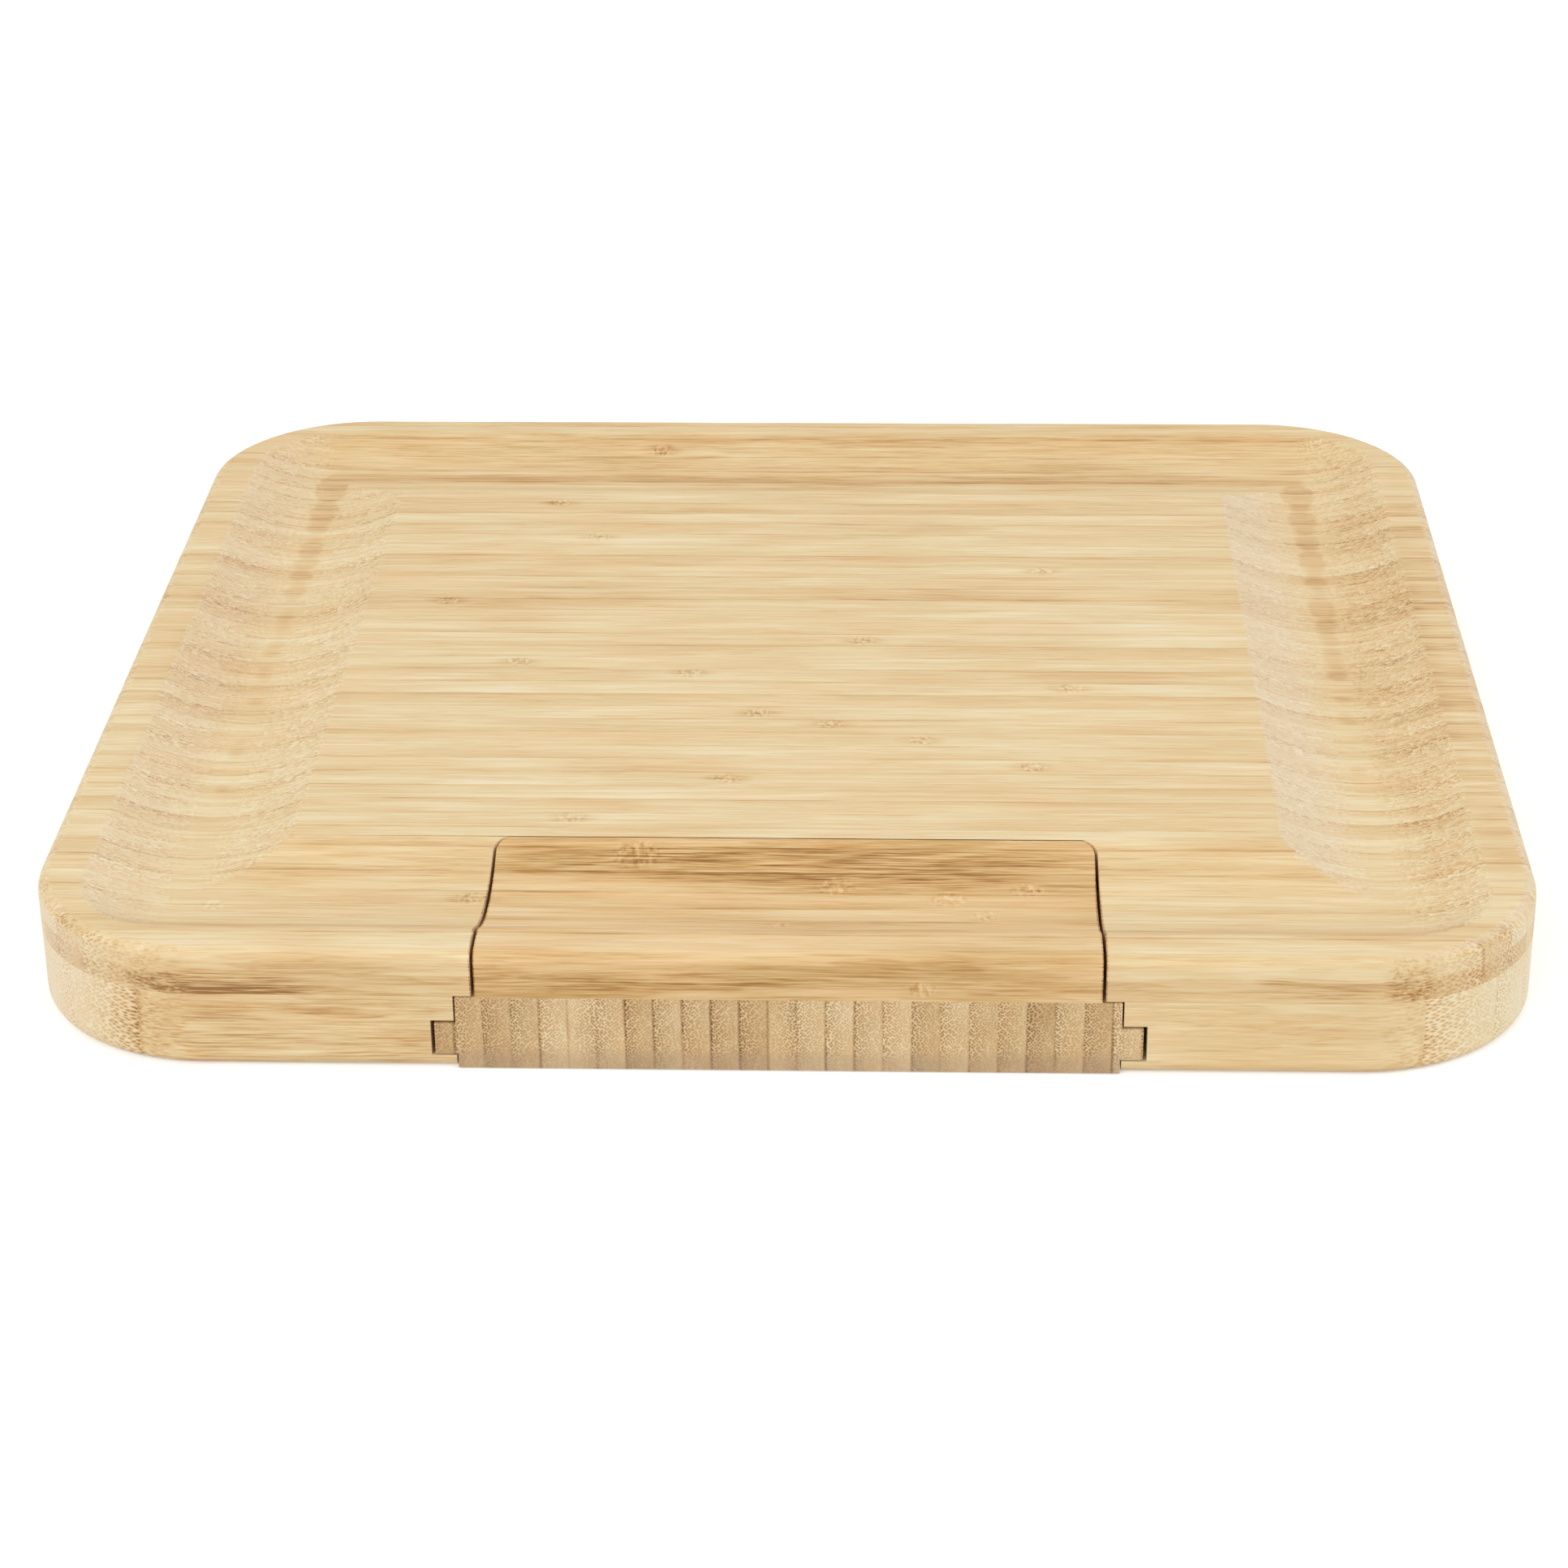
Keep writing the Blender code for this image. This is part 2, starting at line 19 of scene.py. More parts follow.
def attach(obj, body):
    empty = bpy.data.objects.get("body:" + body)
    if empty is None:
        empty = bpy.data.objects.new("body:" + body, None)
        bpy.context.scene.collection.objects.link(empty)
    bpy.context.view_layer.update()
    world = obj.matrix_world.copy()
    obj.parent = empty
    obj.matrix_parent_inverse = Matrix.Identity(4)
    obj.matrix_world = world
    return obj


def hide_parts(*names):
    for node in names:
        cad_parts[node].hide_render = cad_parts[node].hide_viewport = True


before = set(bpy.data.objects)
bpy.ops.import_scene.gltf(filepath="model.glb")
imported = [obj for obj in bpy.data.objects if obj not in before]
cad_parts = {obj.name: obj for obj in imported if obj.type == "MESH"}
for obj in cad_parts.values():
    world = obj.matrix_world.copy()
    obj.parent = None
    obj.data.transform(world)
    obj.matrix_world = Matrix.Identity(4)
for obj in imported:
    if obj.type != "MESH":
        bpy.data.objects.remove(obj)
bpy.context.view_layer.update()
scene = bpy.context.scene

# %% [markdown]
# ## Sizes
#
# The pieces that are made again here follow the CAD model's own sizes, so they are written down
# once, in metres. Heights count from the table and depths from the middle, so the front is at
# -DEPTH / 2. Two things differ from the CAD model, to show what the photograph shows. The glue
# line between the two panels is closed here, because on the real board they touch. The gaps round
# the drawer's block are 0.7 mm at the sides and 0.05 mm at the back, where the CAD model has 0.4
# and 0.3 mm.

# %% Sizes of the board and its drawer
WIDTH, DEPTH, HEIGHT = 0.340, 0.320, 0.0292
CORNER, EDGE = 0.042, 0.003
GLUE_Z = 0.0184
TROUGH_INSET, TROUGH_WIDTH, TROUGH_DEPTH = 0.0335, 0.044, 0.0055
OFF_CENTRE = 0.0023  # The drawer lies this far to the right of the board's middle.
BLOCK_WIDTH, BLOCK_SIDE_GAP, BLOCK_BACK_GAP = 0.1376, 0.0007, 0.00005
NOTCH_CORNER = 0.0038
NOTCH_BACK = -DEPTH / 2 + TROUGH_INSET + TROUGH_WIDTH / 2
PLATE_TOP, PLATE_LIFT, PLATE_BACK = 0.01805, 0.0003, 0.076
PLATE_HALF, FOOT_HALF, TONGUE_HALF = 0.0732, 0.07295, 0.07795
TONGUE_LOW, TONGUE_HIGH = 0.0037, 0.0114
LIP, GROOVE_TOP, GROOVE_HALF = 0.0034, 0.01215, 0.0788
CHANNEL_HALF, CHANNEL_FOOT, CHANNEL_BACK = 0.0736, 0.07325, 0.0764
POCKETS, POCKET_PITCH, POCKET_WIDTH, POCKET_FLOOR = 4, 0.0312, 0.026, 0.00625
POCKET_FRONT, POCKET_LENGTH, POCKET_CORNER = -0.0988, 0.1543, 0.006
SCOOP_Y, SCOOP_Z, SCOOP_RADIUS = -0.0588, 0.02105, 0.016
PIN_X, PIN_Y, PIN_TOP, PIN_HOLE = 0.0664, -0.0971, 0.0248, 0.0023
PIN_RUN, PIN_RUN_HALF, PIN_RUN_DEPTH = 0.0825, 0.0026, 0.00345
MAGNET_Z, MAGNET_HOLE, MAGNET_DEPTH = 0.009, 0.0043, 0.0033
TOOL_Y, TOOL_Z, TANG_HOLE = -0.0208, 0.01105, 0.0024
PAST = 0.004  # How far a cutter runs out past what it cuts.
HAIR = 0.0001  # Near enough to count as the same place.
print("board", WIDTH, "x", DEPTH, "x", HEIGHT, "m, panels glued at", GLUE_Z)

# %% [markdown]
# ## Camera
#
# The photograph was taken with a long lens from a little above the front edge. Its focal length
# and place come from the board's outline: a rounded rectangle of known size shows enough of its
# perspective to fix both. The camera is turned by pitch, yaw and a very small roll, in radians.

# %% The camera
IMAGE_PIXELS, FOCAL_PIXELS, SENSOR = 1932, 4702.3, 36.0
CAMERA_AT = (0.030724, -0.883948, 0.435530)
PITCH, YAW, ROLL = 0.466063, 0.039570, -0.010933


def add_object(name, data):
    """A new object in the scene."""
    thing = bpy.data.objects.new(name, data)
    scene.collection.objects.link(thing)
    return thing


lens = bpy.data.cameras.new("long_lens")
lens.sensor_width = SENSOR
lens.lens = FOCAL_PIXELS * SENSOR / IMAGE_PIXELS
lens.clip_start, lens.clip_end = 0.01, 50
camera = add_object("camera", lens)
yaw, roll = Matrix.Rotation(YAW, 4, "Z"), Matrix.Rotation(ROLL, 4, "Z")
pitch = Matrix.Rotation(math.pi / 2 - PITCH, 4, "X")
camera.matrix_world = Matrix.Translation(CAMERA_AT) @ (yaw @ pitch @ roll)
scene.camera = camera
scene.view_settings.view_transform = "Standard"
print("lens", round(lens.lens, 1), "mm")

# %% [markdown]
# ## One helper for every node
#
# Materials and geometry trees are both made of nodes. One function adds a node, sets it up and
# fills its inputs, either with a value or with a link from another node's output. A Map Range
# node's five inputs are the value, the range it comes from and the range it goes to, and it
# stays within the second. Colours are written as on a screen and turned into the linear values
# that shaders count in.

# %% Helpers for nodes and colours
MATH, VECTOR, RANGE = "ShaderNodeMath", "ShaderNodeVectorMath", "ShaderNodeMapRange"
NOISE, MIX = "ShaderNodeTexNoise", "ShaderNodeMix"


def add_node(tree, kind, fills=(), operation=None, out=0, **settings):
    """Add a node, set its properties, fill or link its inputs, and give back one output."""
    node = tree.nodes.new(kind)
    if operation:
        node.operation = operation
    for name, value in settings.items():
        setattr(node, name, value)
    for key, value in fills.items() if isinstance(fills, dict) else enumerate(fills):
        if isinstance(value, bpy.types.NodeSocket):
            tree.links.new(value, node.inputs[key])
        else:
            node.inputs[key].default_value = value
    return node.outputs[out] if len(node.outputs) else node


def colour(hex_code):
    """An sRGB hex colour as linear red, green, blue and alpha."""
    channels = [int(hex_code[i:i + 2], 16) / 255 for i in (1, 3, 5)]
    return (*[c / 12.92 if c <= 0.04045 else ((c + 0.055) / 1.055) ** 2.4 for c in channels], 1.0)


def new_material(name):
    """An empty node material with its Principled shader."""
    material = bpy.data.materials.new(name)
    material.use_nodes = True
    return material, material.node_tree, material.node_tree.nodes["Principled BSDF"]


def seen_directly(node):
    """1 for what the camera, a mirror or glass shows, 0 for light that falls on the board."""
    paths = node("ShaderNodeLightPath").node.outputs
    seen = node(MATH, [paths["Is Camera Ray"], paths["Is Glossy Ray"]], "MAXIMUM")
    return node(MATH, [seen, paths["Is Transmission Ray"]], "MAXIMUM")


print("mid bamboo in linear values:", [round(c, 3) for c in colour("#E7CEA3")])

# %% [markdown]
# ## Floor and light
#
# The board lies on white paper in soft light from all round, with a large lamp in front on the
# left and a weaker one on the right. The floor lights the board as pale paper does. Only what the
# camera and reflections see of it is lifted to white, so it still keeps the board's shadow. The
# lift grows with the distance, where the lamps no longer reach, so that the floor stays white up
# to the horizon.

# %% The floor, the world and the lamps
SURROUND = 0.70  # How strongly the white room lights the board.
FLOOR_HALF = 12


def add_shape(name, shape):
    """Turn a bmesh into a mesh object in the scene."""
    mesh = bpy.data.meshes.new(name)
    shape.to_mesh(mesh)
    shape.free()
    return add_object(name, mesh)


floor_material, tree, shader = new_material("white_paper_sweep")
tree.nodes.remove(shader)
node = partial(add_node, tree)
paper = node("ShaderNodeBsdfDiffuse", [colour("#E6E6E6")])
place = node("ShaderNodeTexCoord", out="Object")
away = node(VECTOR, [place], "LENGTH", out="Value")
strength = node(RANGE, [away, 0.5, 3.0, 0.38, 0.52])
lift = node("ShaderNodeEmission", [colour("#FFFFFF"), strength])
lifted = node("ShaderNodeAddShader", [paper, lift])
mixed = node("ShaderNodeMixShader", [seen_directly(node), paper, lifted])
tree.links.new(mixed, tree.nodes["Material Output"].inputs["Surface"])

floor_shape = bmesh.new()
bmesh.ops.create_grid(floor_shape, x_segments=1, y_segments=1, size=FLOOR_HALF)
floor = add_shape("floor", floor_shape)
floor.data.materials.append(floor_material)

world = bpy.data.worlds.new("white_studio")
world.use_nodes = True
scene.world = world
node = partial(add_node, world.node_tree)
level = node(MATH, [seen_directly(node), 1 - SURROUND, SURROUND], "MULTIPLY_ADD")
background = world.node_tree.nodes["Background"]
background.inputs["Color"].default_value = (1, 1, 1, 1)
world.node_tree.links.new(level, background.inputs["Strength"])

for name, place, size, watts in (
    ("front_left_softbox", (-1.5, -2.3, 2.3), 2.2, 37),
    ("right_softbox", (2.2, -0.9, 2.0), 1.8, 18),
):
    lamp_data = bpy.data.lights.new(name, "AREA")
    lamp_data.shape, lamp_data.size, lamp_data.energy = "SQUARE", size, watts
    lamp = add_object(name, lamp_data)
    aim = (-Vector(place)).to_track_quat("-Z", "Y").to_matrix().to_4x4()
    lamp.matrix_world = Matrix.Translation(place) @ aim
    print(name, watts, "W")

# %% [markdown]
# ## Bamboo
#
# The board is side-pressed bamboo: slats 6 to 11 mm thick stand on edge, glued face to face.
# Along a slat run the stalk's fibre bundles, dark threads about 0.7 mm apart, packed close
# towards the stalk's outside and sparse towards its inside. That gives the eye five things: fine
# streaks and thin brown lines where a surface runs along the slats, dots where it cuts them
# across, a crumbly mix of both on the trough's slopes, and a tone that changes from slat to slat.
# A picture could show one face. A pattern in space shows the same slat on all of its faces, so
# the whole figure is worked out from the place in the wood, in millimetres, and only then turned
# into colour. Single fibres are finer than a pixel, so their streaks are drawn 0.4 and 1.5 mm
# wide.

# %% The slats and the stalk's joints
SEAM_MM, JOINT_MM = 0.5, 260
FRONT_SLAT = 3.12  # Where the wide last slat in front begins, counted in slats.


def grains(node, source, sizes, detail, roughness=0.5, out=0):
    """Noise whose grains have these sizes, in the units of the place that it starts from."""
    place = node(VECTOR, [source, [1 / size for size in sizes]], "MULTIPLY")
    settings = {"Vector": place, "Scale": 1.0, "Detail": detail, "Roughness": roughness}
    return node(NOISE, settings, out=out)


def place_in_wood(node, along):
    """The place in mm, how squarely the surface cuts the fibres, and how far it faces across."""
    place = node("ShaderNodeTexCoord", out="Object")
    mm = node(VECTOR, {0: place, "Scale": 1000.0}, "SCALE")
    x, y, z = node("ShaderNodeSeparateXYZ", [mm]).node.outputs
    normal = node("ShaderNodeNewGeometry", out="Normal")
    nx, ny, nz = node("ShaderNodeSeparateXYZ", [normal]).node.outputs
    wood = SimpleNamespace(mm=mm, x=x, y=y, z=z, nx=nx, nz=nz)
    wood.length, wood.across = (x, y) if along == "X" else (y, x)
    wood.cut = node(MATH, [nx if along == "X" else ny], "ABSOLUTE")
    wood.flank = node(MATH, [ny if along == "X" else nx], "ABSOLUTE")
    return wood


def lay_slats(node, wood, seed, strip, phase, facing, layer):
    """Which slat it is, how far across it, three random values for it, and how dense it is."""
    slats = node(MATH, [wood.across, 1 / strip, phase], "MULTIPLY_ADD")
    wood.slats = node(MATH, [slats, FRONT_SLAT], "MAXIMUM")
    number = node(MATH, [wood.slats], "FLOOR")
    wood.inside = node(MATH, [wood.slats], "FRACT")
    key = node(MATH, [number, 1.37, seed], "MULTIPLY_ADD")
    if layer:
        # The layer below starts at a height that varies a little. On the board's sides it has
        # slats of its own, and in the trough it only shows as a darker tone.
        uneven = grains(node, wood.mm, (40, 9, math.inf), 2.0)
        level = node(MATH, [wood.y, 0.0013, layer - 0.30], "MULTIPLY_ADD")
        level = node(MATH, [uneven, 0.60, level], "MULTIPLY_ADD")
        wood.level = node(MATH, [level, wood.z], "SUBTRACT")
        threshold = node(RANGE, [wood.nz, 0.4, 0.6, 0.0, 99.0])
        below = node(MATH, [wood.level, threshold], "GREATER_THAN")
        key = node(MATH, [below, 31.4, key], "MULTIPLY_ADD")
    wood.chance = node("ShaderNodeTexWhiteNoise", {"W": key}, out="Color", noise_dimensions="1D")
    chances = node("ShaderNodeSeparateColor", [wood.chance]).node.outputs
    wood.tone_of, side_of, wood.joint_of = chances
    flip = node(MATH, [side_of, facing], "LESS_THAN")
    outside = node(MATH, [1.0, wood.inside], "SUBTRACT")
    rind = node(MIX, {0: flip, 2: wood.inside, 3: outside}, data_type="FLOAT")
    wood.dense = node(MATH, [rind, 1.7], "POWER")


def place_joints(node, wood, joints):
    """The stalk's joints: one on each slat every 260 mm, of which only some show."""
    joint = node(MATH, [wood.length, 1 / JOINT_MM, wood.joint_of], "MULTIPLY_ADD")
    joint = node(MATH, [joint], "FRACT")
    joint = node(MATH, [joint, 0.5], "SUBTRACT")
    joint = node(MATH, [joint], "ABSOLUTE")
    joint = node(RANGE, [joint, 0.0, 4.0 / JOINT_MM, 1.0, 0.0], interpolation_type="SMOOTHSTEP")
    shows = node(MATH, [wood.tone_of, 1 - joints], "GREATER_THAN")
    wood.joint = node(MATH, [joint, shows], "MULTIPLY")


print("glue lines", SEAM_MM, "mm wide, and a joint on each slat every", JOINT_MM, "mm")

# %% The fibres
SWAY_MM, KINK_MM, TEAR_MM = 1.4, 3.0, 2.0


def run_fibres(node, wood, bundles):
    """The fibres' own coordinates (across, up and along the slat), their bundles and streaks."""
    # They wander a little, and more round a joint.
    own = node(VECTOR, {0: wood.chance, "Scale": 173.0}, "SCALE")
    grain = node("ShaderNodeCombineXYZ", [wood.across, wood.z, wood.length])
    wood.grain = grain = node(VECTOR, [grain, own], "ADD")
    sway = grains(node, grain, (7, 7, 48), 1.0, out="Color")
    sway = node(VECTOR, [sway, (0.5, 0.5, 0.5)], "SUBTRACT")
    reach = node(MATH, [wood.joint, KINK_MM, SWAY_MM], "MULTIPLY_ADD")
    sway = node(VECTOR, {0: sway, "Scale": reach}, "SCALE")
    threads = node(VECTOR, [grain, sway], "ADD")

    # On the trough's slopes, where the cutter ran against the grain, they are torn to crumbs.
    torn = grains(node, grain, (1.7, 1.7, 1.1), 3.0, out="Color")
    swirl, wood.crumb, wood.chip = node("ShaderNodeSeparateColor", [torn]).node.outputs
    torn = node(VECTOR, [torn, (0.5, 0.5, 0.5)], "SUBTRACT")
    sloping = node(RANGE, [wood.cut, 0.02, 0.11, 0.0, 1.0])
    wood.upward = node(RANGE, [wood.nz, 0.5, 0.8, 0.0, 1.0])
    wood.sloping = node(MATH, [sloping, wood.upward], "MULTIPLY")
    reach = node(MATH, [wood.sloping, TEAR_MM], "MULTIPLY")
    torn = node(VECTOR, {0: torn, "Scale": reach}, "SCALE")
    threads = node(VECTOR, [threads, torn], "ADD")

    # Fibre bundles in a slanting lattice, fine fibres, broader bands and slow changes of tone.
    slant = {"Vector": threads, "Angle": 0.8}
    lattice = node("ShaderNodeVectorRotate", slant, rotation_type="Z_AXIS")
    bundle = node(
        "ShaderNodeTexVoronoi", {"Vector": lattice, "Scale": 1 / bundles, "Randomness": 0.65},
        voronoi_dimensions="2D",
    )
    wood.pore = node(RANGE, [bundle, 0.10, 0.58, -1.0, 0.75])
    wood.fine = grains(node, threads, (0.40, 0.40, 15), 3.0, roughness=0.6)
    wood.broad = grains(node, threads, (1.5, 3.0, 40), 3.0, roughness=0.65)
    wood.drift = grains(node, grain, (14, 14, 50), 1.0)
    wood.swirl = node(MATH, [swirl, 0.52], "SUBTRACT")


print("fibres sway by", SWAY_MM / 2, "mm, and by", (SWAY_MM + KINK_MM) / 2, "mm at a joint")

# %% [markdown]
# All of this first becomes one number, the tone: 0 is the darkest fibre and 1 the palest pith.
# Where the surface runs along the fibres it shows streaks, and where it cuts them it shows the
# bundles as dots, so the weight of each part of the figure depends on how the surface lies.

# %% The tone of plain wood
CRUMBS = 0.46


def plain_tone(node, wood, base, figure, ends, fresh, darker_below, layer):
    """The tone before any line or mark is on it."""
    flank = node(RANGE, [wood.flank, 0.05, 0.6, 0.0, 1.0])
    tone = node(MATH, [flank, -0.13, base], "MULTIPLY_ADD")
    bare = node(RANGE, [wood.cut, 0.3, 0.8, 0.0, 1.0])
    steep = node(RANGE, [wood.nz, 0.2, 0.6, 1.0, 0.0])
    wood.bare = node(MATH, [bare, steep], "MULTIPLY")
    tone = node(MATH, [wood.bare, fresh, tone], "MULTIPLY_ADD")
    dense_by = node(RANGE, [wood.cut, 0.05, 0.3, -0.12 * figure, -0.10 * figure])
    tone = node(MATH, [wood.dense, dense_by, tone], "MULTIPLY_ADD")
    pore_by = node(RANGE, [wood.cut, 0.02, 0.28, 0.03 * figure, 0.26 * ends])
    crowd = node(MATH, [wood.dense, 0.8, 0.32], "MULTIPLY_ADD")
    pore_by = node(MATH, [pore_by, crowd], "MULTIPLY")
    if darker_below:
        # Cut ends turn darker and greyer towards the bottom, with fainter dots.
        above_foot = node(RANGE, [wood.z, darker_below - 2.0, darker_below + 1.0, 0.35, 1.0])
        pore_by = node(MATH, [pore_by, above_foot], "MULTIPLY")
        tone = node(MATH, [above_foot, 0.14, tone], "MULTIPLY_ADD")
    tone = node(MATH, [wood.pore, pore_by, tone], "MULTIPLY_ADD")
    fine_by = node(RANGE, [wood.cut, 0.03, 0.14, 0.42 * figure, 0.20 * figure])
    fine_by = node(MATH, [flank, 0.25 * figure, fine_by], "MULTIPLY_ADD")
    broad_by = node(RANGE, [wood.cut, 0.03, 0.4, 0.46 * figure, 0.16 * figure])
    crumb_by = node(MATH, [wood.sloping, CRUMBS], "MULTIPLY")
    if layer:
        # Slopes that face right get a painted sheen of light from the right: their crumbs
        # are fainter here, and a greyer wash lies over their colour.
        smoothed = node(RANGE, [wood.nx, 0.04, 0.28, 0.0, 1.0])
        wood.smoothed = node(MATH, [smoothed, wood.upward], "MULTIPLY")
        crumb_by = node(MATH, [wood.smoothed, -0.18, crumb_by], "MULTIPLY_ADD")
    slat_by = node(RANGE, [wood.cut, 0.2, 0.6, 0.15, 0.24])
    for source, amount in (
        (wood.fine, fine_by), (wood.broad, broad_by), (wood.drift, broad_by),
        (wood.crumb, crumb_by), (wood.tone_of, slat_by),
    ):
        centred = node(MATH, [source, 0.5], "SUBTRACT")
        tone = node(MATH, [centred, amount, tone], "MULTIPLY_ADD")
    return tone


print("crumbs on the slopes change the tone by up to", CRUMBS / 2)

# %% Lines, knots and stains
GLUE_FAINT, GLUE_STRONG = 0.02, 0.28


def draw_lines(node, wood, tone, strip, figure, veins, layer, glue):
    """Thin brown lines along the grain, and glue lines between the slats and between layers."""
    # The thin lines lie where the broad bands cross one level.
    vein = node(MATH, [wood.broad, 0.47], "SUBTRACT")
    vein = node(MATH, [vein], "ABSOLUTE")
    vein = node(RANGE, [vein, 0.0, 0.06, -2.0 * veins, 0.0], interpolation_type="SMOOTHSTEP")
    tone = node(MATH, [tone, vein], "ADD")

    # Glue lines are stronger in some places than in others, and broken where fibres are torn.
    edge = node(MATH, [wood.inside, 0.5], "SUBTRACT")
    edge = node(MATH, [edge], "ABSOLUTE")
    line = node(
        RANGE, [edge, 0.5 - SEAM_MM / strip, 0.5 - 0.15 * SEAM_MM / strip, 0.0, 1.0],
        interpolation_type="SMOOTHSTEP",
    )
    fade = node("ShaderNodeCombineXYZ", [wood.slats, wood.z, wood.length])
    fade = grains(node, fade, (1.25, 30, 24), 1.0)
    fade = node(RANGE, [fade, 0.38, 0.68, -GLUE_FAINT, -GLUE_STRONG * figure])
    broken = node(RANGE, [wood.chip, 0.42, 0.60, 1.0, 0.0])
    blur = node(MIX, {0: wood.sloping, 2: 1.0, 3: broken}, data_type="FLOAT")
    fade = node(MATH, [fade, blur], "MULTIPLY")
    tone = node(MATH, [line, fade, tone], "MULTIPLY_ADD")
    if layer:
        laid_bare = node(RANGE, [wood.nz, 0.5, 0.95, -0.12, -0.18])
        deep = node(RANGE, [wood.level, -0.03, 0.07, 0.0, laid_bare])
        tone = node(MATH, [deep, tone], "ADD")
    if glue:
        seam = node(MATH, [wood.z, glue], "SUBTRACT")
        seam = node(MATH, [seam], "ABSOLUTE")
        seam = node(RANGE, [seam, 0.03, 0.16, -0.16, 0.0], interpolation_type="SMOOTHSTEP")
        tone = node(MATH, [tone, seam], "ADD")
    return tone


def draw_marks(node, wood, tone, marks):
    """Joints, stains, painted shade and knots: a brown core with pale fibre swirling round it."""
    joint_by = node(MATH, [wood.joint, 0.9], "MULTIPLY")
    tone = node(MATH, [wood.swirl, joint_by, tone], "MULTIPLY_ADD")
    streak = node(RANGE, [wood.fine, 0.36, 0.64, 1.7, 0.3])
    knot_tone = node(MATH, [wood.swirl, 1.1, 0.02], "MULTIPLY_ADD")
    for px, py, pz, rx, ry, rz, depth, *knot in marks:
        inverse, shift = (1 / rx, 1 / ry, 1 / rz), (-px / rx, -py / ry, -pz / rz)
        near = node(VECTOR, [wood.mm, inverse, shift], "MULTIPLY_ADD")
        near = node(VECTOR, [near], "LENGTH", out="Value")
        near = node(RANGE, [near, 0.5, 1.0, depth, 0.0], interpolation_type="SMOOTHSTEP")
        near = node(MATH, [near, knot_tone if knot else streak], "MULTIPLY")
        tone = node(MATH, [tone, near], "SUBTRACT")
    return tone


print("a glue line darkens plain wood by", GLUE_FAINT, "to", GLUE_STRONG)

# %% [markdown]
# The tone then becomes a colour: it picks from five tones of the wood, and a few thin washes of
# other tints lie over that. A fresh cut is paler and pinker, and a painted sheen makes cut ends
# paler still on the left. Slopes that face right are greyer under a painted sheen, more so
# towards the right. Cut ends also turn darker and greyer towards the bottom.

# %% The bamboo material
STOPS = (0.0, 0.25, 0.5, 0.75, 1.0)


def tone_to_colour(node, wood, tone, tones, fresh, darker_below, layer):
    """The wood's colour for a tone, with its washes."""
    ramp = node("ShaderNodeValToRGB", [tone])
    stops = ramp.node.color_ramp.elements
    for at, hex_code in zip(STOPS, tones):
        stop = stops[0] if at == 0 else stops[-1] if at == 1 else stops.new(at)
        stop.color = colour(hex_code)
    tint = grains(node, wood.grain, (9, 9, 38), 1.0)
    tint = node(RANGE, [tint, 0.42, 0.72, 0.0, 0.5])
    pinker = {0: tint, 6: ramp, 7: colour("#FFF0E0")}
    blush = node(MIX, pinker, out=2, data_type="RGBA", blend_type="MULTIPLY")
    washes = []
    if fresh > 0:
        # The fresh cut's own pale wash, plus a painted sheen that is stronger on the left.
        pale_end_and_left_sheen = node(RANGE, [wood.x, -100.0, 100.0, 1.5 * fresh, 0.5 * fresh])
        washes.append((node(MATH, [wood.bare, pale_end_and_left_sheen], "MULTIPLY"), "#EBD6C4"))
    if layer:
        # Painted sheen on slopes that face right: a greyer wash, stronger towards the right.
        sheen_stronger_rightward = node(RANGE, [wood.x, -100.0, 100.0, 0.18, 0.28])
        washes.append((node(MATH, [wood.smoothed, sheen_stronger_rightward], "MULTIPLY"), "#E1D2C3"))
    if darker_below:
        # Greyer towards the bottom.
        washes.append((node(RANGE, [wood.z, darker_below - 2.0, darker_below + 1.0, 0.20, 0.0]), "#ABA399"))
    for amount, hex_code in washes:
        blush = node(MIX, {0: amount, 6: blush, 7: colour(hex_code)}, out=2, data_type="RGBA")
    return blush


def bamboo(
    name, tones, seed, along="X", strip=7.25, phase=0.0, bundles=0.75, facing=0.55, figure=1.0,
    ends=1.0, veins=0.06, joints=0.5, base=0.73, fresh=0.0, darker_below=0.0, layer=0.0, glue=0.0, marks=(),
):
    """Bamboo slats along one axis, with tones from the darkest fibre to the palest pith.

    Lengths are in mm. strip is the slats' thickness, phase the place of their glue lines and
    bundles how far the fibre bundles lie apart. facing is the share of the slats whose outside
    faces the same way, and joints the share that shows a joint of the stalk. figure, veins, ends
    and fresh are the strength of the streaks, of the thin brown lines, of the dots on cut ends
    and of the pale wood between the dots; above 0, fresh also sets a painted sheen on cut ends,
    stronger on the left. Below the height darker_below, a cut end turns darker and greyer, with
    fainter dots. Below the height layer, the trough lays the next layer of slats bare, and slopes
    that face right get a painted sheen. glue is the height of the line between the panels. A mark
    is a place, three radii and a depth of tone: a stain, a darker patch, painted shade in a gap,
    or a knot if an eighth value follows.
    """
    material, tree, shader = new_material(name)
    node = partial(add_node, tree)
    wood = place_in_wood(node, along)
    lay_slats(node, wood, seed, strip, phase, facing, layer)
    place_joints(node, wood, joints)
    run_fibres(node, wood, bundles)
    tone = plain_tone(node, wood, base, figure, ends, fresh, darker_below, layer)
    tone = draw_lines(node, wood, tone, strip, figure, veins, layer, glue)
    tone = draw_marks(node, wood, tone, marks)
    blush = tone_to_colour(node, wood, tone, tones, fresh, darker_below, layer)
    tree.links.new(blush, shader.inputs["Base Color"])

    # Dark fibre is a little rougher than pale pith, and stands in tiny ridges.
    rough = node(RANGE, [tone, 0.1, 0.9, 0.66, 0.52])
    tree.links.new(rough, shader.inputs["Roughness"])
    relief = node(MATH, [wood.pore, wood.cut], "MULTIPLY")
    relief = node(MATH, [wood.fine, 0.8, relief], "MULTIPLY_ADD")
    bump = node("ShaderNodeBump", {"Strength": 0.35, "Distance": 0.00004, "Height": relief})
    tree.links.new(bump, shader.inputs["Normal"])
    print(name, len(tree.nodes), "nodes")
    return material
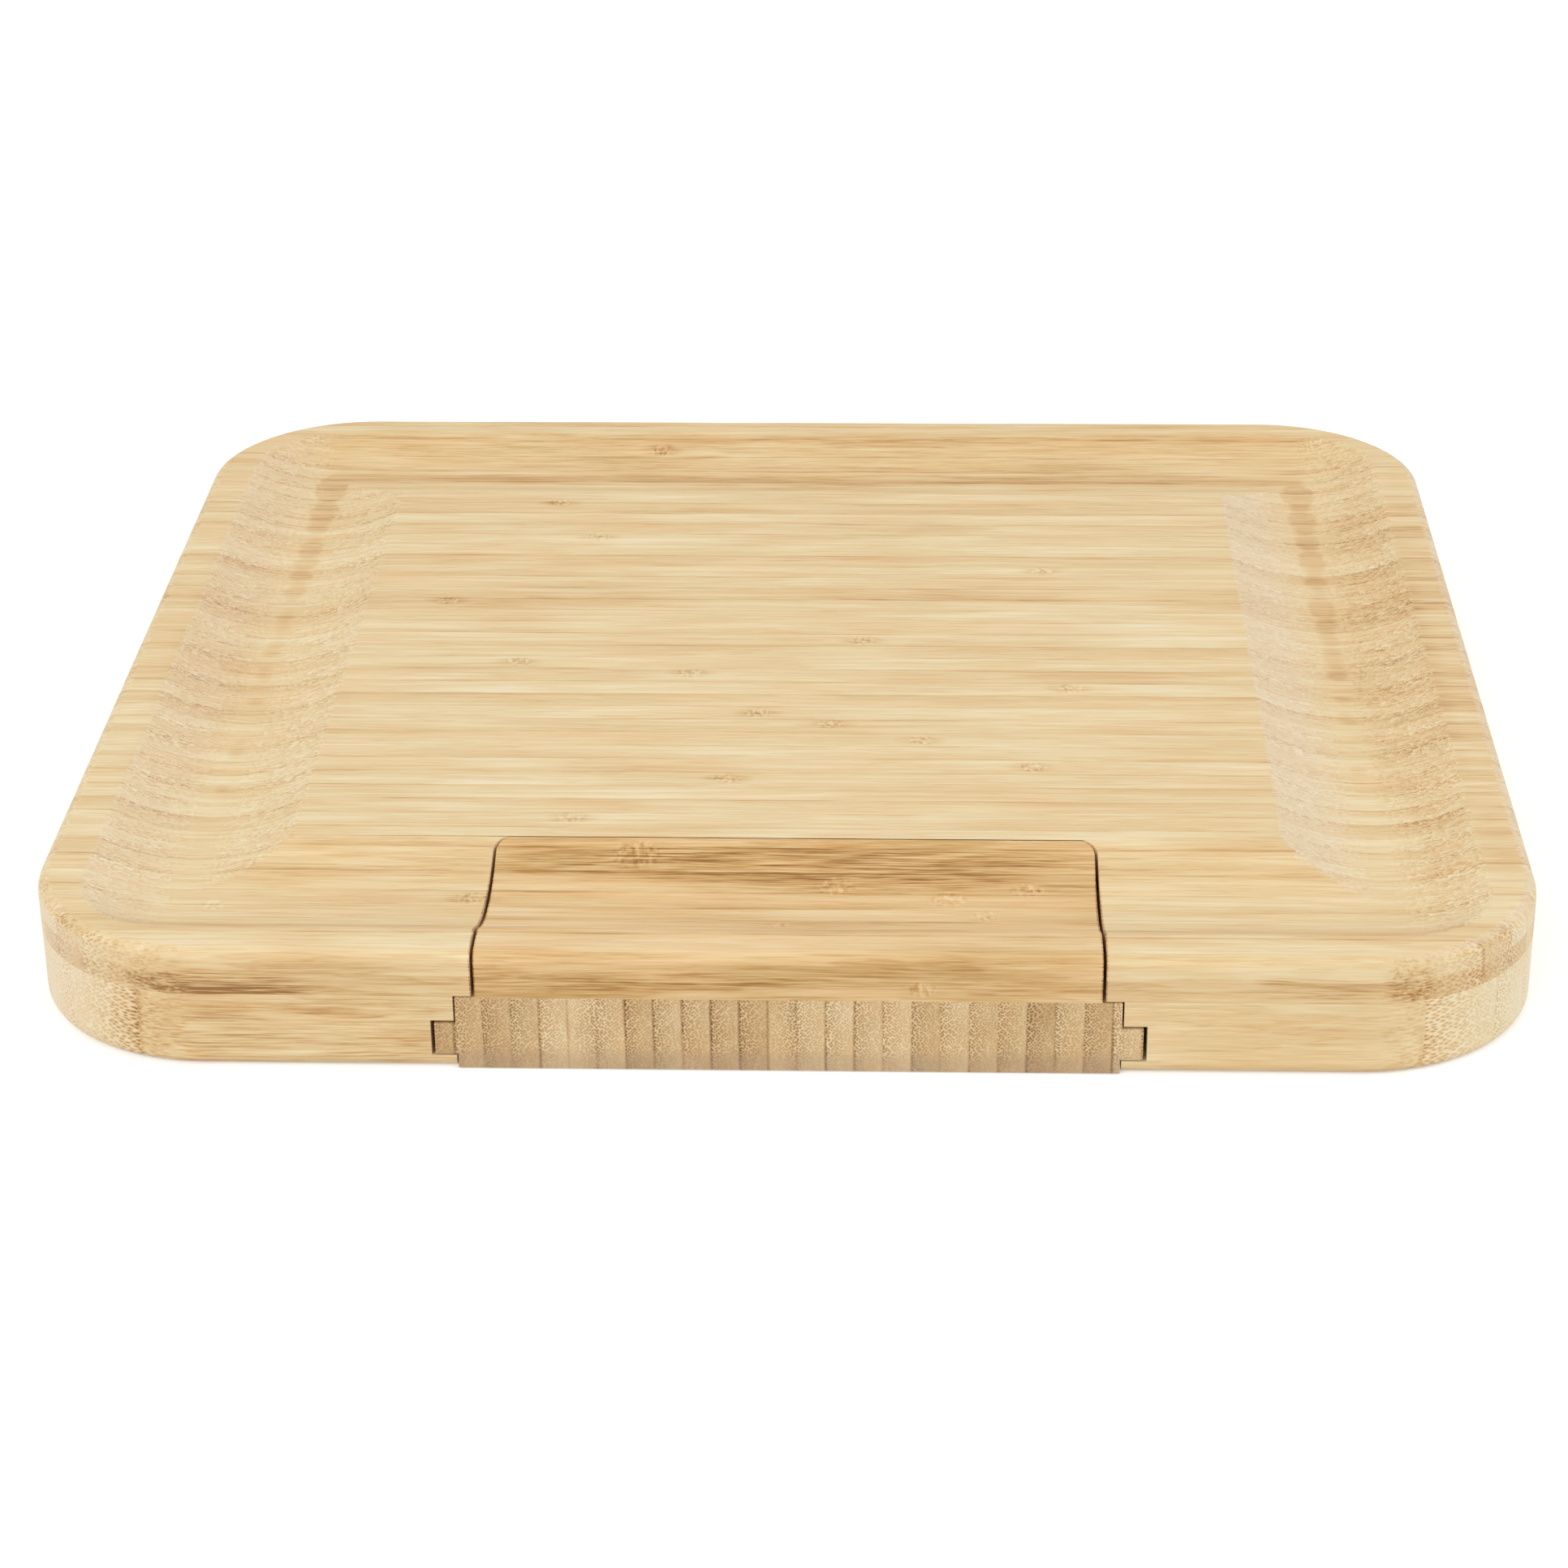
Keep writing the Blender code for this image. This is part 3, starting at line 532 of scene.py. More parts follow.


# %% [markdown]
# The board's panels are pale. The drawer's block came from a darker piece with brown bands and
# knots across it, and its plate is turned so that its end grain faces the front, where the cut
# fibres drink more oil and look darker. The marks below are the stains and knots that a person
# would notice first, a few darker patches, and painted shade that darkens the gaps on both sides
# of the block.

# %% The wooden pieces' materials
PALE_TONES = ("#9A6C3C", "#C69D67", "#DFBF8B", "#EAD3A4", "#F4E6C4")
BLOCK_TONES = ("#94642D", "#C3995A", "#DEBA83", "#EBCF9E", "#F3E0B9")
PLATE_TONES = ("#60421F", "#9C794C", "#C09E6E", "#DABD8E", "#EEDAB4")
HANDLE_TONES = ("#6F4721", "#A97A45", "#C89F67", "#DBB680", "#E9CE9D")
TOP_KNOTS = (
    (63, 50), (-57, 72), (-69, 96), (-93, 29), (-71, -9), (-27, -15), (-9, -38), (9, -44),
    (31, -53), (58, -67), (-15, -74), (-50, -95), (68, -23), (16, 5), (-44, 142), (-3, 130),
)
UPPER_MARKS = (
    *((x, y, 28, 4.6, 3.6, 4, 1.3, 1) for x, y in TOP_KNOTS),
    *((x, y, 28, 8.0, 3.0, 4, 0.16) for x, y in TOP_KNOTS),
    # Painted shade on the notch's walls, which darkens the gaps beside the block.
    (-67.2, -141, 24, 0.5, 36, 18, 0.45), (71.8, -141, 24, 0.5, 36, 18, 0.45),
    # Brown streaks and knots on the front, first on the left and then on the right.
    (-124, -161, 21.0, 31, 9, 3.8, 0.23), (-112, -161, 25.2, 44, 8, 2.8, 0.08),
    (-118, -161, 19.6, 28, 6, 1.6, 0.22), (-95, -122, 26, 60, 22, 8, 0.05),
    (-70.5, -125, 25, 5, 3.6, 6, 1.2, 1), (-71, -125, 25, 8, 3, 6, 0.16),
    (-129, -129, 25, 4, 3.4, 6, 1.1, 1), (-146, -154, 21.2, 16, 12, 3.2, 0.08),
    (118, -161, 22.2, 26, 7, 3.6, 0.10), (137.5, -157.5, 22.8, 7, 8, 7.0, 0.16),
    (147, -154, 20.4, 17, 12, 3.6, 0.11), (136, -159.4, 25.4, 3.6, 4, 2.4, 1.2, 1),
    # Slightly darker in the back trough, the right rim and both side troughs' outer slopes.
    (0, 134, 26, 190, 18, 7, 0.06), (164, 0, 29, 8, 150, 6, 0.09),
    (150, -5, 27, 15, 165, 9, 0.14), (-150, 0, 27, 14, 165, 9, 0.09),
)
# A streaky darker patch across the left of the lower panel's front.
LOWER_MARKS = ((-112, -160, 8, 75, 9, 14, 0.16),)
BLOCK_MARKS = (
    # Painted shade on its sides, which darkens the gaps beside it.
    (-66.5, -141, 24, 0.5, 36, 18, 0.45), (71.1, -141, 24, 0.5, 36, 18, 0.45),
    # Brown bands across its back and its front.
    (2, -112.0, 27, 90, 7.0, 6, 0.26), (28, -119, 25, 66, 4.6, 5, 0.16),
    (-30, -161, 22.5, 58, 5, 3.4, 0.11), (44, -161, 21.5, 40, 5, 2.4, 0.07),
    # Knots.
    (-34, -109, 27, 7, 5, 6, 1.0, 1), (12, -119, 25, 6, 4, 6, 1.1, 1),
    (37.5, -124, 24, 6, 3.6, 6, 1.0, 1), (46, -132, 24, 4, 4, 6, 1.1, 1),
    (55.5, -120, 25, 5, 3, 6, 1.1, 1), (0, -140, 24, 6, 3.6, 6, 0.7, 1),
    (32, -161, 21, 4, 4, 2.4, 1.3, 1),
)

upper_wood = bamboo(
    "bamboo_upper_panel", PALE_TONES, 11.3, phase=24.772, ends=1.25, joints=0.0, base=0.743,
    fresh=0.18, layer=23.71, glue=1000 * GLUE_Z, marks=UPPER_MARKS,
)
lower_wood = bamboo(
    "bamboo_lower_panel", PALE_TONES, 47.9, strip=11.0, phase=24.336, facing=0.8, ends=1.5,
    joints=0.3, base=0.865, fresh=0.15, glue=1000 * GLUE_Z, marks=LOWER_MARKS,
)
block_wood = bamboo(
    "bamboo_drawer_block", BLOCK_TONES, 5.6, phase=24.772, figure=1.2, veins=0.045, joints=0.0,
    marks=BLOCK_MARKS,
)
plate_wood = bamboo(
    "bamboo_end_grain_plate", PLATE_TONES, 91.2, along="Y", strip=6.3, phase=24.325, bundles=0.62,
    facing=0.93, figure=1.45, ends=1.45, veins=0.02, fresh=-0.20, darker_below=5.0,
)
handle_wood = bamboo(
    "bamboo_oiled_handle", HANDLE_TONES, 23.4, along="Y", strip=6.3, phase=24.4, figure=1.1
)

# %% [markdown]
# ## Steel
#
# The tools are stainless steel with a brushed finish: fine scratches along the blade make its
# shine long and soft. The stop pins are turned steel, and the magnets are plated with nickel,
# which is smoother and a little yellower. Scratches of 0.02 mm would be lost in the picture, so
# they are drawn 0.1 to 0.3 mm apart. Fingers leave broad smudges, which dull the shine in places.

# %% The metals
SMUDGE_MM = 9


def brushed_metal(name, hex_code, rough, scratch_mm, spread):
    """A metal with fine lines along Y. They vary its roughness, its lustre and its surface."""
    material, tree, shader = new_material(name)
    node = partial(add_node, tree)
    place = node("ShaderNodeTexCoord", out="Object")
    mm = node(VECTOR, {0: place, "Scale": 1000.0}, "SCALE")
    scratch = grains(node, mm, (scratch_mm, 60 * scratch_mm, scratch_mm), 2.0)
    smudge = grains(node, mm, (SMUDGE_MM, SMUDGE_MM, SMUDGE_MM), 1.0)
    both = node(MATH, [smudge, 0.5, scratch], "MULTIPLY_ADD")
    shade = node(RANGE, [both, 0.4, 1.1, rough - spread, rough + spread])
    tree.links.new(shade, shader.inputs["Roughness"])
    bump = node("ShaderNodeBump", {"Strength": 0.15, "Distance": 0.00002, "Height": scratch})
    tree.links.new(bump, shader.inputs["Normal"])
    lustre = node(RANGE, [both, 0.55, 0.95, 0.74, 1.0])
    metal = node(VECTOR, {0: colour(hex_code)[:3], "Scale": lustre}, "SCALE")
    tree.links.new(metal, shader.inputs["Base Color"])
    shader.inputs["Metallic"].default_value = 1.0
    return material


steel = brushed_metal("stainless_steel_brushed", "#D8D9DA", 0.27, 0.15, 0.08)
pin_metal = brushed_metal("steel_turned", "#B6B8BA", 0.34, 0.10, 0.06)
nickel = brushed_metal("nickel_plated", "#D2CFC8", 0.18, 0.30, 0.05)
print("metals:", steel.name, pin_metal.name, nickel.name)

# %% [markdown]
# ## The board's shape, ring by ring
#
# The panels follow one rule: every level of them is a rounded rectangle. The rings start as a
# point in the middle of the top, run out over the flat middle, down and up through the trough,
# over the rim and the rounded edge, down the side and back under to the middle. A geometry tree
# makes a grid with one row for each ring and bends each row into its rectangle. It reads the
# rings from a section, a line of points whose X is the distance in from the outline, Y the
# corner radius and Z the height. Each corner also gets a column just before and just after its
# arc. They keep the shading of the round corner off the long flat sides.

# %% Helpers for geometry trees
def new_tree(name, inputs):
    """A geometry tree with these inputs, the function that adds its nodes, and its values."""
    tree = bpy.data.node_groups.new(name, "GeometryNodeTree")
    for title, kind in inputs.items():
        tree.interface.new_socket(title, in_out="INPUT", socket_type="NodeSocket" + kind)
    tree.interface.new_socket("Geometry", in_out="OUTPUT", socket_type="NodeSocketGeometry")
    node = partial(add_node, tree)
    return tree, node, node("NodeGroupInput").node.outputs


def keep_result(piece):
    """Turn what a piece's modifiers make of it into its plain mesh."""
    depsgraph = bpy.context.evaluated_depsgraph_get()
    mesh = bpy.data.meshes.new_from_object(piece.evaluated_get(depsgraph))
    piece.modifiers.clear()
    piece.data = mesh


def run_tree(name, tree, values):
    """Run a geometry tree with these inputs and keep the result as a plain mesh object."""
    piece = add_object(name, bpy.data.meshes.new(name))
    modifier = piece.modifiers.new(tree.name, "NODES")
    modifier.node_group = tree
    for socket in tree.interface.items_tree:
        if socket.in_out == "INPUT" and socket.name in values:
            modifier[socket.identifier] = values[socket.name]
    keep_result(piece)
    print(name, "made by the tree", tree.name)
    return piece


# %% The tree that lofts rounded rings
def rounded_loft():
    """Rows of a grid bent into rounded rectangles that follow a section."""
    tree, node, given = new_tree("rounded_loft", {
        "Section": "Object", "Width": "Float", "Depth": "Float", "Corner Steps": "Int",
        "Run": "Float", "Finish": "Material",
    })
    section = node("GeometryNodeObjectInfo", {"Object": given["Section"]}, out="Geometry")
    rings = node("GeometryNodeAttributeDomainSize", [section], out="Point Count")
    per_corner = node(MATH, [given["Corner Steps"], 3.0], "ADD")
    around = node(MATH, [per_corner, 4.0], "MULTIPLY")
    columns = node(MATH, [around, 1.0], "ADD")
    grid = node("GeometryNodeMeshGrid", {"Vertices X": columns, "Vertices Y": rings}, out="Mesh")

    index = node("GeometryNodeInputIndex")
    ring = node(MATH, [index, rings], "FLOORED_MODULO")
    column = node(MATH, [index, rings], "DIVIDE")
    column = node(MATH, [column], "FLOOR")
    column = node(MATH, [column, around], "FLOORED_MODULO")
    quarter = node(MATH, [column, per_corner], "DIVIDE")
    quarter = node(MATH, [quarter], "FLOOR")
    step = node(MATH, [column, per_corner], "FLOORED_MODULO")
    step = node(MATH, [step, 1.0], "SUBTRACT")
    share = node(MATH, [step, given["Corner Steps"]], "DIVIDE")
    within = node(RANGE, [share])
    before_or_after = node(MATH, [share, within], "SUBTRACT")
    before_or_after = node(MATH, [before_or_after], "SIGN")
    turns = node(MATH, [quarter, within], "ADD")
    angle = node(MATH, [turns, math.pi / 2], "MULTIPLY")
    middle = node(MATH, [quarter, math.pi / 2, math.pi / 4], "MULTIPLY_ADD")

    here = node("GeometryNodeInputPosition")
    asked = {"Geometry": section, "Value": here, "Index": ring}
    row = node("GeometryNodeSampleIndex", asked, data_type="FLOAT_VECTOR")
    inset, radius, height = node("ShaderNodeSeparateXYZ", [row]).node.outputs
    sides = []
    for size, wave, turned, sign in (
        (given["Width"], "COSINE", "SINE", -1.0), (given["Depth"], "SINE", "COSINE", 1.0),
    ):
        half = node(MATH, [size, 0.5], "MULTIPLY")
        half = node(MATH, [half, inset], "SUBTRACT")
        run = node(MATH, [half, given["Run"]], "MINIMUM")
        run = node(MATH, [run, before_or_after], "MULTIPLY")
        run = node(MATH, [run, sign], "MULTIPLY")
        along = node(MATH, [angle], turned)
        run = node(MATH, [run, along], "MULTIPLY")
        centre = node(MATH, [half, radius], "SUBTRACT")
        side = node(MATH, [middle], wave)
        side = node(MATH, [side], "SIGN")
        centre = node(MATH, [centre, side], "MULTIPLY")
        reach = node(MATH, [angle], wave)
        reach = node(MATH, [reach, radius, centre], "MULTIPLY_ADD")
        sides.append(node(MATH, [reach, run], "ADD"))
    bent = node("ShaderNodeCombineXYZ", [*sides, height])
    shape = node("GeometryNodeSetPosition", {"Geometry": grid, "Position": bent})
    shape = node("GeometryNodeMergeByDistance", {"Geometry": shape, "Distance": 0.000001})
    shape = node("GeometryNodeRealizeInstances", [shape])
    shape = node("GeometryNodeSetMaterial", {"Geometry": shape, "Material": given["Finish"]})
    node("NodeGroupOutput", {"Geometry": shape})
    return tree


loft_tree = rounded_loft()
print(loft_tree.name, len(loft_tree.nodes), "nodes")

# %% [markdown]
# ## Sections
#
# The trough is a round-bottomed gouge, 44 mm wide and 5.5 mm deep. A router leaves a crisp edge
# there, which sandpaper then softens, so each edge is turned over a few small steps. Sharp edges
# would catch no light at all. Outside the trough's middle line its corners are round, and inside
# it they are square. On the rim, the corner's radius grows from the trough's to the outline's.

# %% The sections of the two panels
CORNER_STEPS, CORNER_RUN = 24, 0.0025
BESIDE_EDGE = 0.0004  # A ring this far from each rounded edge keeps the faces beside it flat.


def trough_rings(soft=0.0009, steps=30):
    """Rings across the trough, from the flat middle to the rim, with edges softened this far."""
    half = TROUGH_WIDTH / 2
    bend = (half ** 2 + TROUGH_DEPTH ** 2) / (2 * TROUGH_DEPTH)

    def gouge(offset):
        return HEIGHT - TROUGH_DEPTH + bend - math.sqrt(bend ** 2 - offset ** 2)

    reach = half - soft
    ends = (-half - soft, HEIGHT), (-half, HEIGHT), (-reach, gouge(reach))
    inner = [
        tuple((1 - t) ** 2 * a + 2 * t * (1 - t) * b + t ** 2 * c for a, b, c in zip(*ends))
        for t in (0, 0.25, 0.5, 0.75, 1)
    ]
    outer = [(-offset, z) for offset, z in reversed(inner)]
    across = [reach * (2 * i / steps - 1) for i in range(1, steps)]
    points = [(-half - 4 * soft, HEIGHT), *inner, *((at, gouge(at)) for at in across), *outer]
    return [(TROUGH_INSET - offset, max(offset, 0.0), z) for offset, z in points]


def edge_rings(out_z, turn, steps=8):
    """Rings over a rounded edge. turn is 1 from the top to the side, -1 from the side to below."""
    rings = []
    for i in range(steps + 1):
        angle = math.pi / 2 * (i / steps if turn > 0 else 1 - i / steps)
        inward, along = EDGE * (1 - math.sin(angle)), EDGE * (1 - math.cos(angle))
        rings.append((inward, CORNER - inward, out_z - along if turn > 0 else out_z + along))
    return rings


def panel_piece(name, rings, wood):
    """Loft a panel from its rings of (inset, corner radius, height)."""
    middle = DEPTH / 2
    rings = [(middle, 0.0, rings[0][2]), *rings, (middle, 0.0, rings[-1][2])]
    line = bpy.data.meshes.new(name + "_section")
    line.from_pydata(rings, [], [])
    section = add_object(name + "_section", line)
    piece = run_tree(name, loft_tree, {
        "Section": section, "Width": WIDTH, "Depth": DEPTH, "Corner Steps": CORNER_STEPS,
        "Run": CORNER_RUN, "Finish": wood,
    })
    bpy.data.objects.remove(section)
    print(name, len(rings), "rings,", len(piece.data.polygons), "faces")
    return piece


flat_ring = (EDGE + BESIDE_EDGE, CORNER - EDGE - BESIDE_EDGE)
rim = [(0.0085, 0.0300, HEIGHT), (0.0045, 0.0370, HEIGHT), (*flat_ring, HEIGHT)]
upper_rings = [*trough_rings(), *rim, *edge_rings(HEIGHT, 1)]
lower_rings = [(0.0, CORNER, EDGE + BESIDE_EDGE), *edge_rings(0.0, -1), (*flat_ring, 0.0)]
upper = panel_piece("upper_panel_wood", [*upper_rings, (0.0, CORNER, GLUE_Z)], upper_wood)
lower = panel_piece("lower_panel_wood", [(0.0, CORNER, GLUE_Z), *lower_rings], lower_wood)
block = panel_piece("drawer_block_wood", [*upper_rings, (0.0, CORNER, PLATE_TOP)], block_wood)

# %% [markdown]
# ## Cutting and easing
#
# The joiner's cuts are straight, so they are made as the joiner makes them: a notch, a channel,
# round holes. An exact Boolean subtracts a prism with the cut's outline. Its edges come out
# knife-sharp, and a real edge is eased with sandpaper, so each new edge is then rounded by a
# fraction of a millimetre. Smooth shading with weighted normals then keeps the flat faces flat.

# %% Helpers that make and cut solids
def loft(name, rings):
    """A closed mesh through rings of points, with a face on each end."""
    shape = bmesh.new()
    loops = [[shape.verts.new(point) for point in ring] for ring in rings]
    count = len(loops[0])
    for near, far in zip(loops, loops[1:]):
        for i in range(count):
            shape.faces.new((near[i], near[(i + 1) % count], far[(i + 1) % count], far[i]))
    shape.faces.new(loops[0])
    shape.faces.new(loops[-1])
    bmesh.ops.recalc_face_normals(shape, faces=shape.faces)
    return add_shape(name, shape)


def upright(outline, low, high):
    """A prism along Z on (x, y) points."""
    return loft("cutter", [[(x, y, z) for x, y in outline] for z in (low, high)])


def lengthwise(outline, start, end):
    """A prism along Y on (x, z) points."""
    return loft("cutter", [[(x, y, z) for x, z in outline] for y in (start, end)])


def arc(centre, radius, start, end, steps):
    """Points of an arc between two angles in degrees."""
    angles = [math.radians(start + (end - start) * i / steps) for i in range(steps + 1)]
    return [(centre[0] + radius * math.cos(a), centre[1] + radius * math.sin(a)) for a in angles]


def circle(centre, radius, points):
    """Points all round a circle."""
    return arc(centre, radius, 0, 360, points)[:-1]


def cut(piece, tool, operation="DIFFERENCE"):
    """Apply an exact Boolean and remove the tool."""
    modifier = piece.modifiers.new("cut", "BOOLEAN")
    modifier.operation, modifier.solver, modifier.object = operation, "EXACT", tool
    keep_result(piece)
    bpy.data.objects.remove(tool)


print("a drilled hole has", len(circle((0, 0), PIN_HOLE, 48)), "sides")

# %% Helpers that ease edges and finish a piece
CRISP, EASED, SOFT = 0.00014, 0.0002, 0.0004
SHARP_BEND, SMOOTH_BEND = math.radians(30), math.radians(32)


def ease(piece, is_edge, width, segments=3):
    """Round the sharp edges whose middle passes the test."""
    shape = bmesh.new()
    shape.from_mesh(piece.data)
    bmesh.ops.remove_doubles(shape, verts=shape.verts, dist=0.000002)
    picked = [
        edge for edge in shape.edges
        if len(edge.link_faces) == 2 and edge.calc_face_angle(0) > SHARP_BEND
        and is_edge((edge.verts[0].co + edge.verts[1].co) / 2)
    ]
    bmesh.ops.bevel(
        shape, geom=picked, offset=width, segments=segments, profile=0.5, affect="EDGES",
        clamp_overlap=True,
    )
    shape.to_mesh(piece.data)
    shape.free()
    print(piece.name, len(picked), "edges eased by", round(1000 * width, 2), "mm")


def finish(piece, material, body, slot, *nodes):
    """Shade a piece, give it its material, and let it stand for its CAD nodes."""
    mesh = piece.data
    mesh.materials.clear()
    mesh.materials.append(material)
    mesh.polygons.foreach_set("material_index", [0] * len(mesh.polygons))
    mesh.shade_smooth()
    mesh.set_sharp_from_angle(angle=SMOOTH_BEND)
    piece.modifiers.new("weighted", "WEIGHTED_NORMAL").keep_sharp = True
    keep_result(piece)
    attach(piece, body)
    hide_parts(*nodes)
    print(piece.name, sum(len(p.vertices) - 2 for p in piece.data.polygons), "triangles")


print("cut edges are eased by", [round(1000 * width, 2) for width in (CRISP, EASED, SOFT)], "mm")

# %% [markdown]
# ## The upper panel and the drawer's block
#
# Both have the same section, because the maker cuts the trough through them in one go with the
# drawer shut. The notch takes its place out of the panel, and the block keeps what lies inside
# the notch, less a thin gap all round.

# %% Notch the panel and cut the block to fit
def notch(half, back, corner, low, high):
    """A prism with two round back corners that runs out past the board's front."""
    outline = arc((OFF_CENTRE + half - corner, back - corner), corner, 0, 90, 10)
    outline += arc((OFF_CENTRE - half + corner, back - corner), corner, 90, 180, 10)
    front = -DEPTH / 2 - PAST
    return upright(outline + [(OFF_CENTRE - half, front), (OFF_CENTRE + half, front)], low, high)


notch_half = BLOCK_WIDTH / 2 + BLOCK_SIDE_GAP
cut(upper, notch(notch_half, NOTCH_BACK, NOTCH_CORNER, GLUE_Z - PAST, HEIGHT + PAST))
for side in (-1, 1):
    hole = circle((OFF_CENTRE + side * PIN_X, PIN_Y), PIN_HOLE, 48)
    cut(upper, upright(hole, GLUE_Z - PAST, PIN_TOP))
block_back = NOTCH_BACK - BLOCK_BACK_GAP
block_corner = NOTCH_CORNER - BLOCK_BACK_GAP
keep = notch(BLOCK_WIDTH / 2, block_back, block_corner, PLATE_TOP - PAST, HEIGHT + PAST)
cut(block, keep, "INTERSECT")


def at_notch(half, back):
    """A test for the edges where a notch's walls meet another face."""
    def test(middle):
        aside = abs(middle.x - OFF_CENTRE)
        inside = aside < half + HAIR and middle.y < back + HAIR
        on_side, on_back = abs(aside - half) < HAIR, middle.y > back - NOTCH_CORNER - HAIR
        return inside and (on_side or on_back) and middle.z > PLATE_TOP + 10 * HAIR

    return test


ease(upper, at_notch(notch_half, NOTCH_BACK), CRISP)
ease(block, at_notch(BLOCK_WIDTH / 2, block_back), CRISP)
finish(upper, upper_wood, "board", "bamboo_panel", "top_panel")
finish(block, block_wood, "drawer", "bamboo_block", "drawer_front")

# %% [markdown]
# ## The lower panel
#
# A channel for the drawer runs in from the front: wide at the top, with a groove in each side
# and a lip under each groove that carries the drawer's tongue. A blind hole in its back wall
# holds a magnet.

# %% Cut the channel into the lower panel
def both_sides(right):
    """An outline with this right half, mirrored about the drawer's middle."""
    left = [(-x, z) for x, z in reversed(right)]
    return [(OFF_CENTRE + x, z) for x, z in right + left]


def at_mouth(middle):
    """A test for the channel's edges on the board's front, below the glue line."""
    return abs(middle.y + DEPTH / 2) < 5 * HAIR and middle.z < GLUE_Z - 5 * HAIR


channel = both_sides([
    (CHANNEL_FOOT, -PAST), (CHANNEL_FOOT, LIP), (GROOVE_HALF, LIP), (GROOVE_HALF, GROOVE_TOP),
    (CHANNEL_HALF, GROOVE_TOP), (CHANNEL_HALF, GLUE_Z + PAST),
])
cut(lower, lengthwise(channel, -DEPTH / 2 - PAST, CHANNEL_BACK))
magnet_hole = circle((OFF_CENTRE, MAGNET_Z), MAGNET_HOLE, 48)
cut(lower, lengthwise(magnet_hole, CHANNEL_BACK - 2 * HAIR, CHANNEL_BACK + MAGNET_DEPTH))
ease(lower, at_mouth, EASED, 2)
finish(lower, lower_wood, "board", "bamboo_panel", "base_panel")

# %% [markdown]
# ## The drawer's plate
#
# One thick plate of slats that run front to back. A tongue along each side runs in the board's
# grooves. Four pockets lie in a row at one pitch, so they are made as one pocket repeated along
# a line by a small geometry tree.

# %% The tree that repeats a pocket
def row_of_copies():
    """Copies of an object along X, centred on the middle of the row."""
    tree, node, given = new_tree("row_of_copies", {
        "Original": "Object", "Count": "Int", "Pitch": "Float", "Middle": "Float",
        "Finish": "Material",
    })
    original = node("GeometryNodeObjectInfo", {"Object": given["Original"]}, out="Geometry")
    gaps = node(MATH, [given["Count"], 1.0], "SUBTRACT")
    reach = node(MATH, [gaps, given["Pitch"]], "MULTIPLY")
    first = node(MATH, [reach, -0.5, given["Middle"]], "MULTIPLY_ADD")
    start = node("ShaderNodeCombineXYZ", [first])
    pace = node("ShaderNodeCombineXYZ", [given["Pitch"]])
    spacing = {"Count": given["Count"], "Start Location": start, "Offset": pace}
    line = node("GeometryNodeMeshLine", spacing)
    copies = node("GeometryNodeInstanceOnPoints", {"Points": line, "Instance": original})
    copies = node("GeometryNodeRealizeInstances", [copies])
    copies = node("GeometryNodeSetMaterial", {"Geometry": copies, "Material": given["Finish"]})
    node("NodeGroupOutput", {"Geometry": copies})
    return tree


row_tree = row_of_copies()
print(row_tree.name, len(row_tree.nodes), "nodes")

# %% Make the plate with its tongues, pockets, scoop and grooves
def rounded_rectangle(half_x, half_y, radius, steps=10, x=0.0, y=0.0):
    """Points of a rounded rectangle round (x, y)."""
    points = []
    for quarter, (side_x, side_y) in enumerate(((1, 1), (-1, 1), (-1, -1), (1, -1))):
        centre = (x + side_x * (half_x - radius), y + side_y * (half_y - radius))
        points += arc(centre, radius, 90 * quarter, 90 * quarter + 90, steps)
    return points


def behind_block(middle):
    """A test for the edges on the plate's top, behind the drawer's block."""
    return abs(middle.z - PLATE_TOP) < HAIR and middle.y > block_back


plate = lengthwise(both_sides([
    (FOOT_HALF, PLATE_LIFT), (FOOT_HALF, TONGUE_LOW), (TONGUE_HALF, TONGUE_LOW),
    (TONGUE_HALF, TONGUE_HIGH), (PLATE_HALF, TONGUE_HIGH), (PLATE_HALF, PLATE_TOP),
]), -DEPTH / 2, PLATE_BACK)
plate.name = "drawer_plate_wood"

pocket_half, pocket_y = POCKET_LENGTH / 2, POCKET_FRONT + POCKET_LENGTH / 2
pocket_rim = rounded_rectangle(POCKET_WIDTH / 2, pocket_half, POCKET_CORNER, y=pocket_y)
pocket = upright(pocket_rim, POCKET_FLOOR, PLATE_TOP + PAST)
pockets = run_tree("pockets", row_tree, {
    "Original": pocket, "Count": POCKETS, "Pitch": POCKET_PITCH, "Middle": OFF_CENTRE,
    "Finish": plate_wood,
})
bpy.data.objects.remove(pocket)
cut(plate, pockets)
scoop_half = (POCKETS - 1) / 2 * POCKET_PITCH + POCKET_WIDTH / 2
scoop_rim = circle((SCOOP_Y, SCOOP_Z), SCOOP_RADIUS, 60)
cut(plate, loft("cutter", [
    [(OFF_CENTRE + x, y, z) for y, z in scoop_rim] for x in (-scoop_half, scoop_half)
]))
for side in (-1, 1):
    x, half = OFF_CENTRE + side * PIN_X, PIN_RUN_HALF
    run = rounded_rectangle(half, PIN_RUN + half, half, x=x, y=PIN_Y + PIN_RUN)
    cut(plate, upright(run, PLATE_TOP - PIN_RUN_DEPTH, PLATE_TOP + PAST))
cut(plate, lengthwise(magnet_hole, PLATE_BACK - MAGNET_DEPTH, PLATE_BACK + 2 * HAIR))
ease(plate, behind_block, SOFT)
finish(plate, plate_wood, "drawer", "bamboo_end_grain", "drawer_plate")

# %% [markdown]
# ## The cheese tools
#
# A cleaver, a spade knife, a two-pronged fork and a spreader. Each has a turned bamboo handle, a
# steel ferrule and a blade ground thin at both edges. They are lofted through a few sections
# with a smooth curve between them, which is how such rounded shapes stay free of facets. Each
# section starts with its place: along the piece, from 0 to 1, or in metres for the neck. Then
# come its shares of the piece's full width and height.

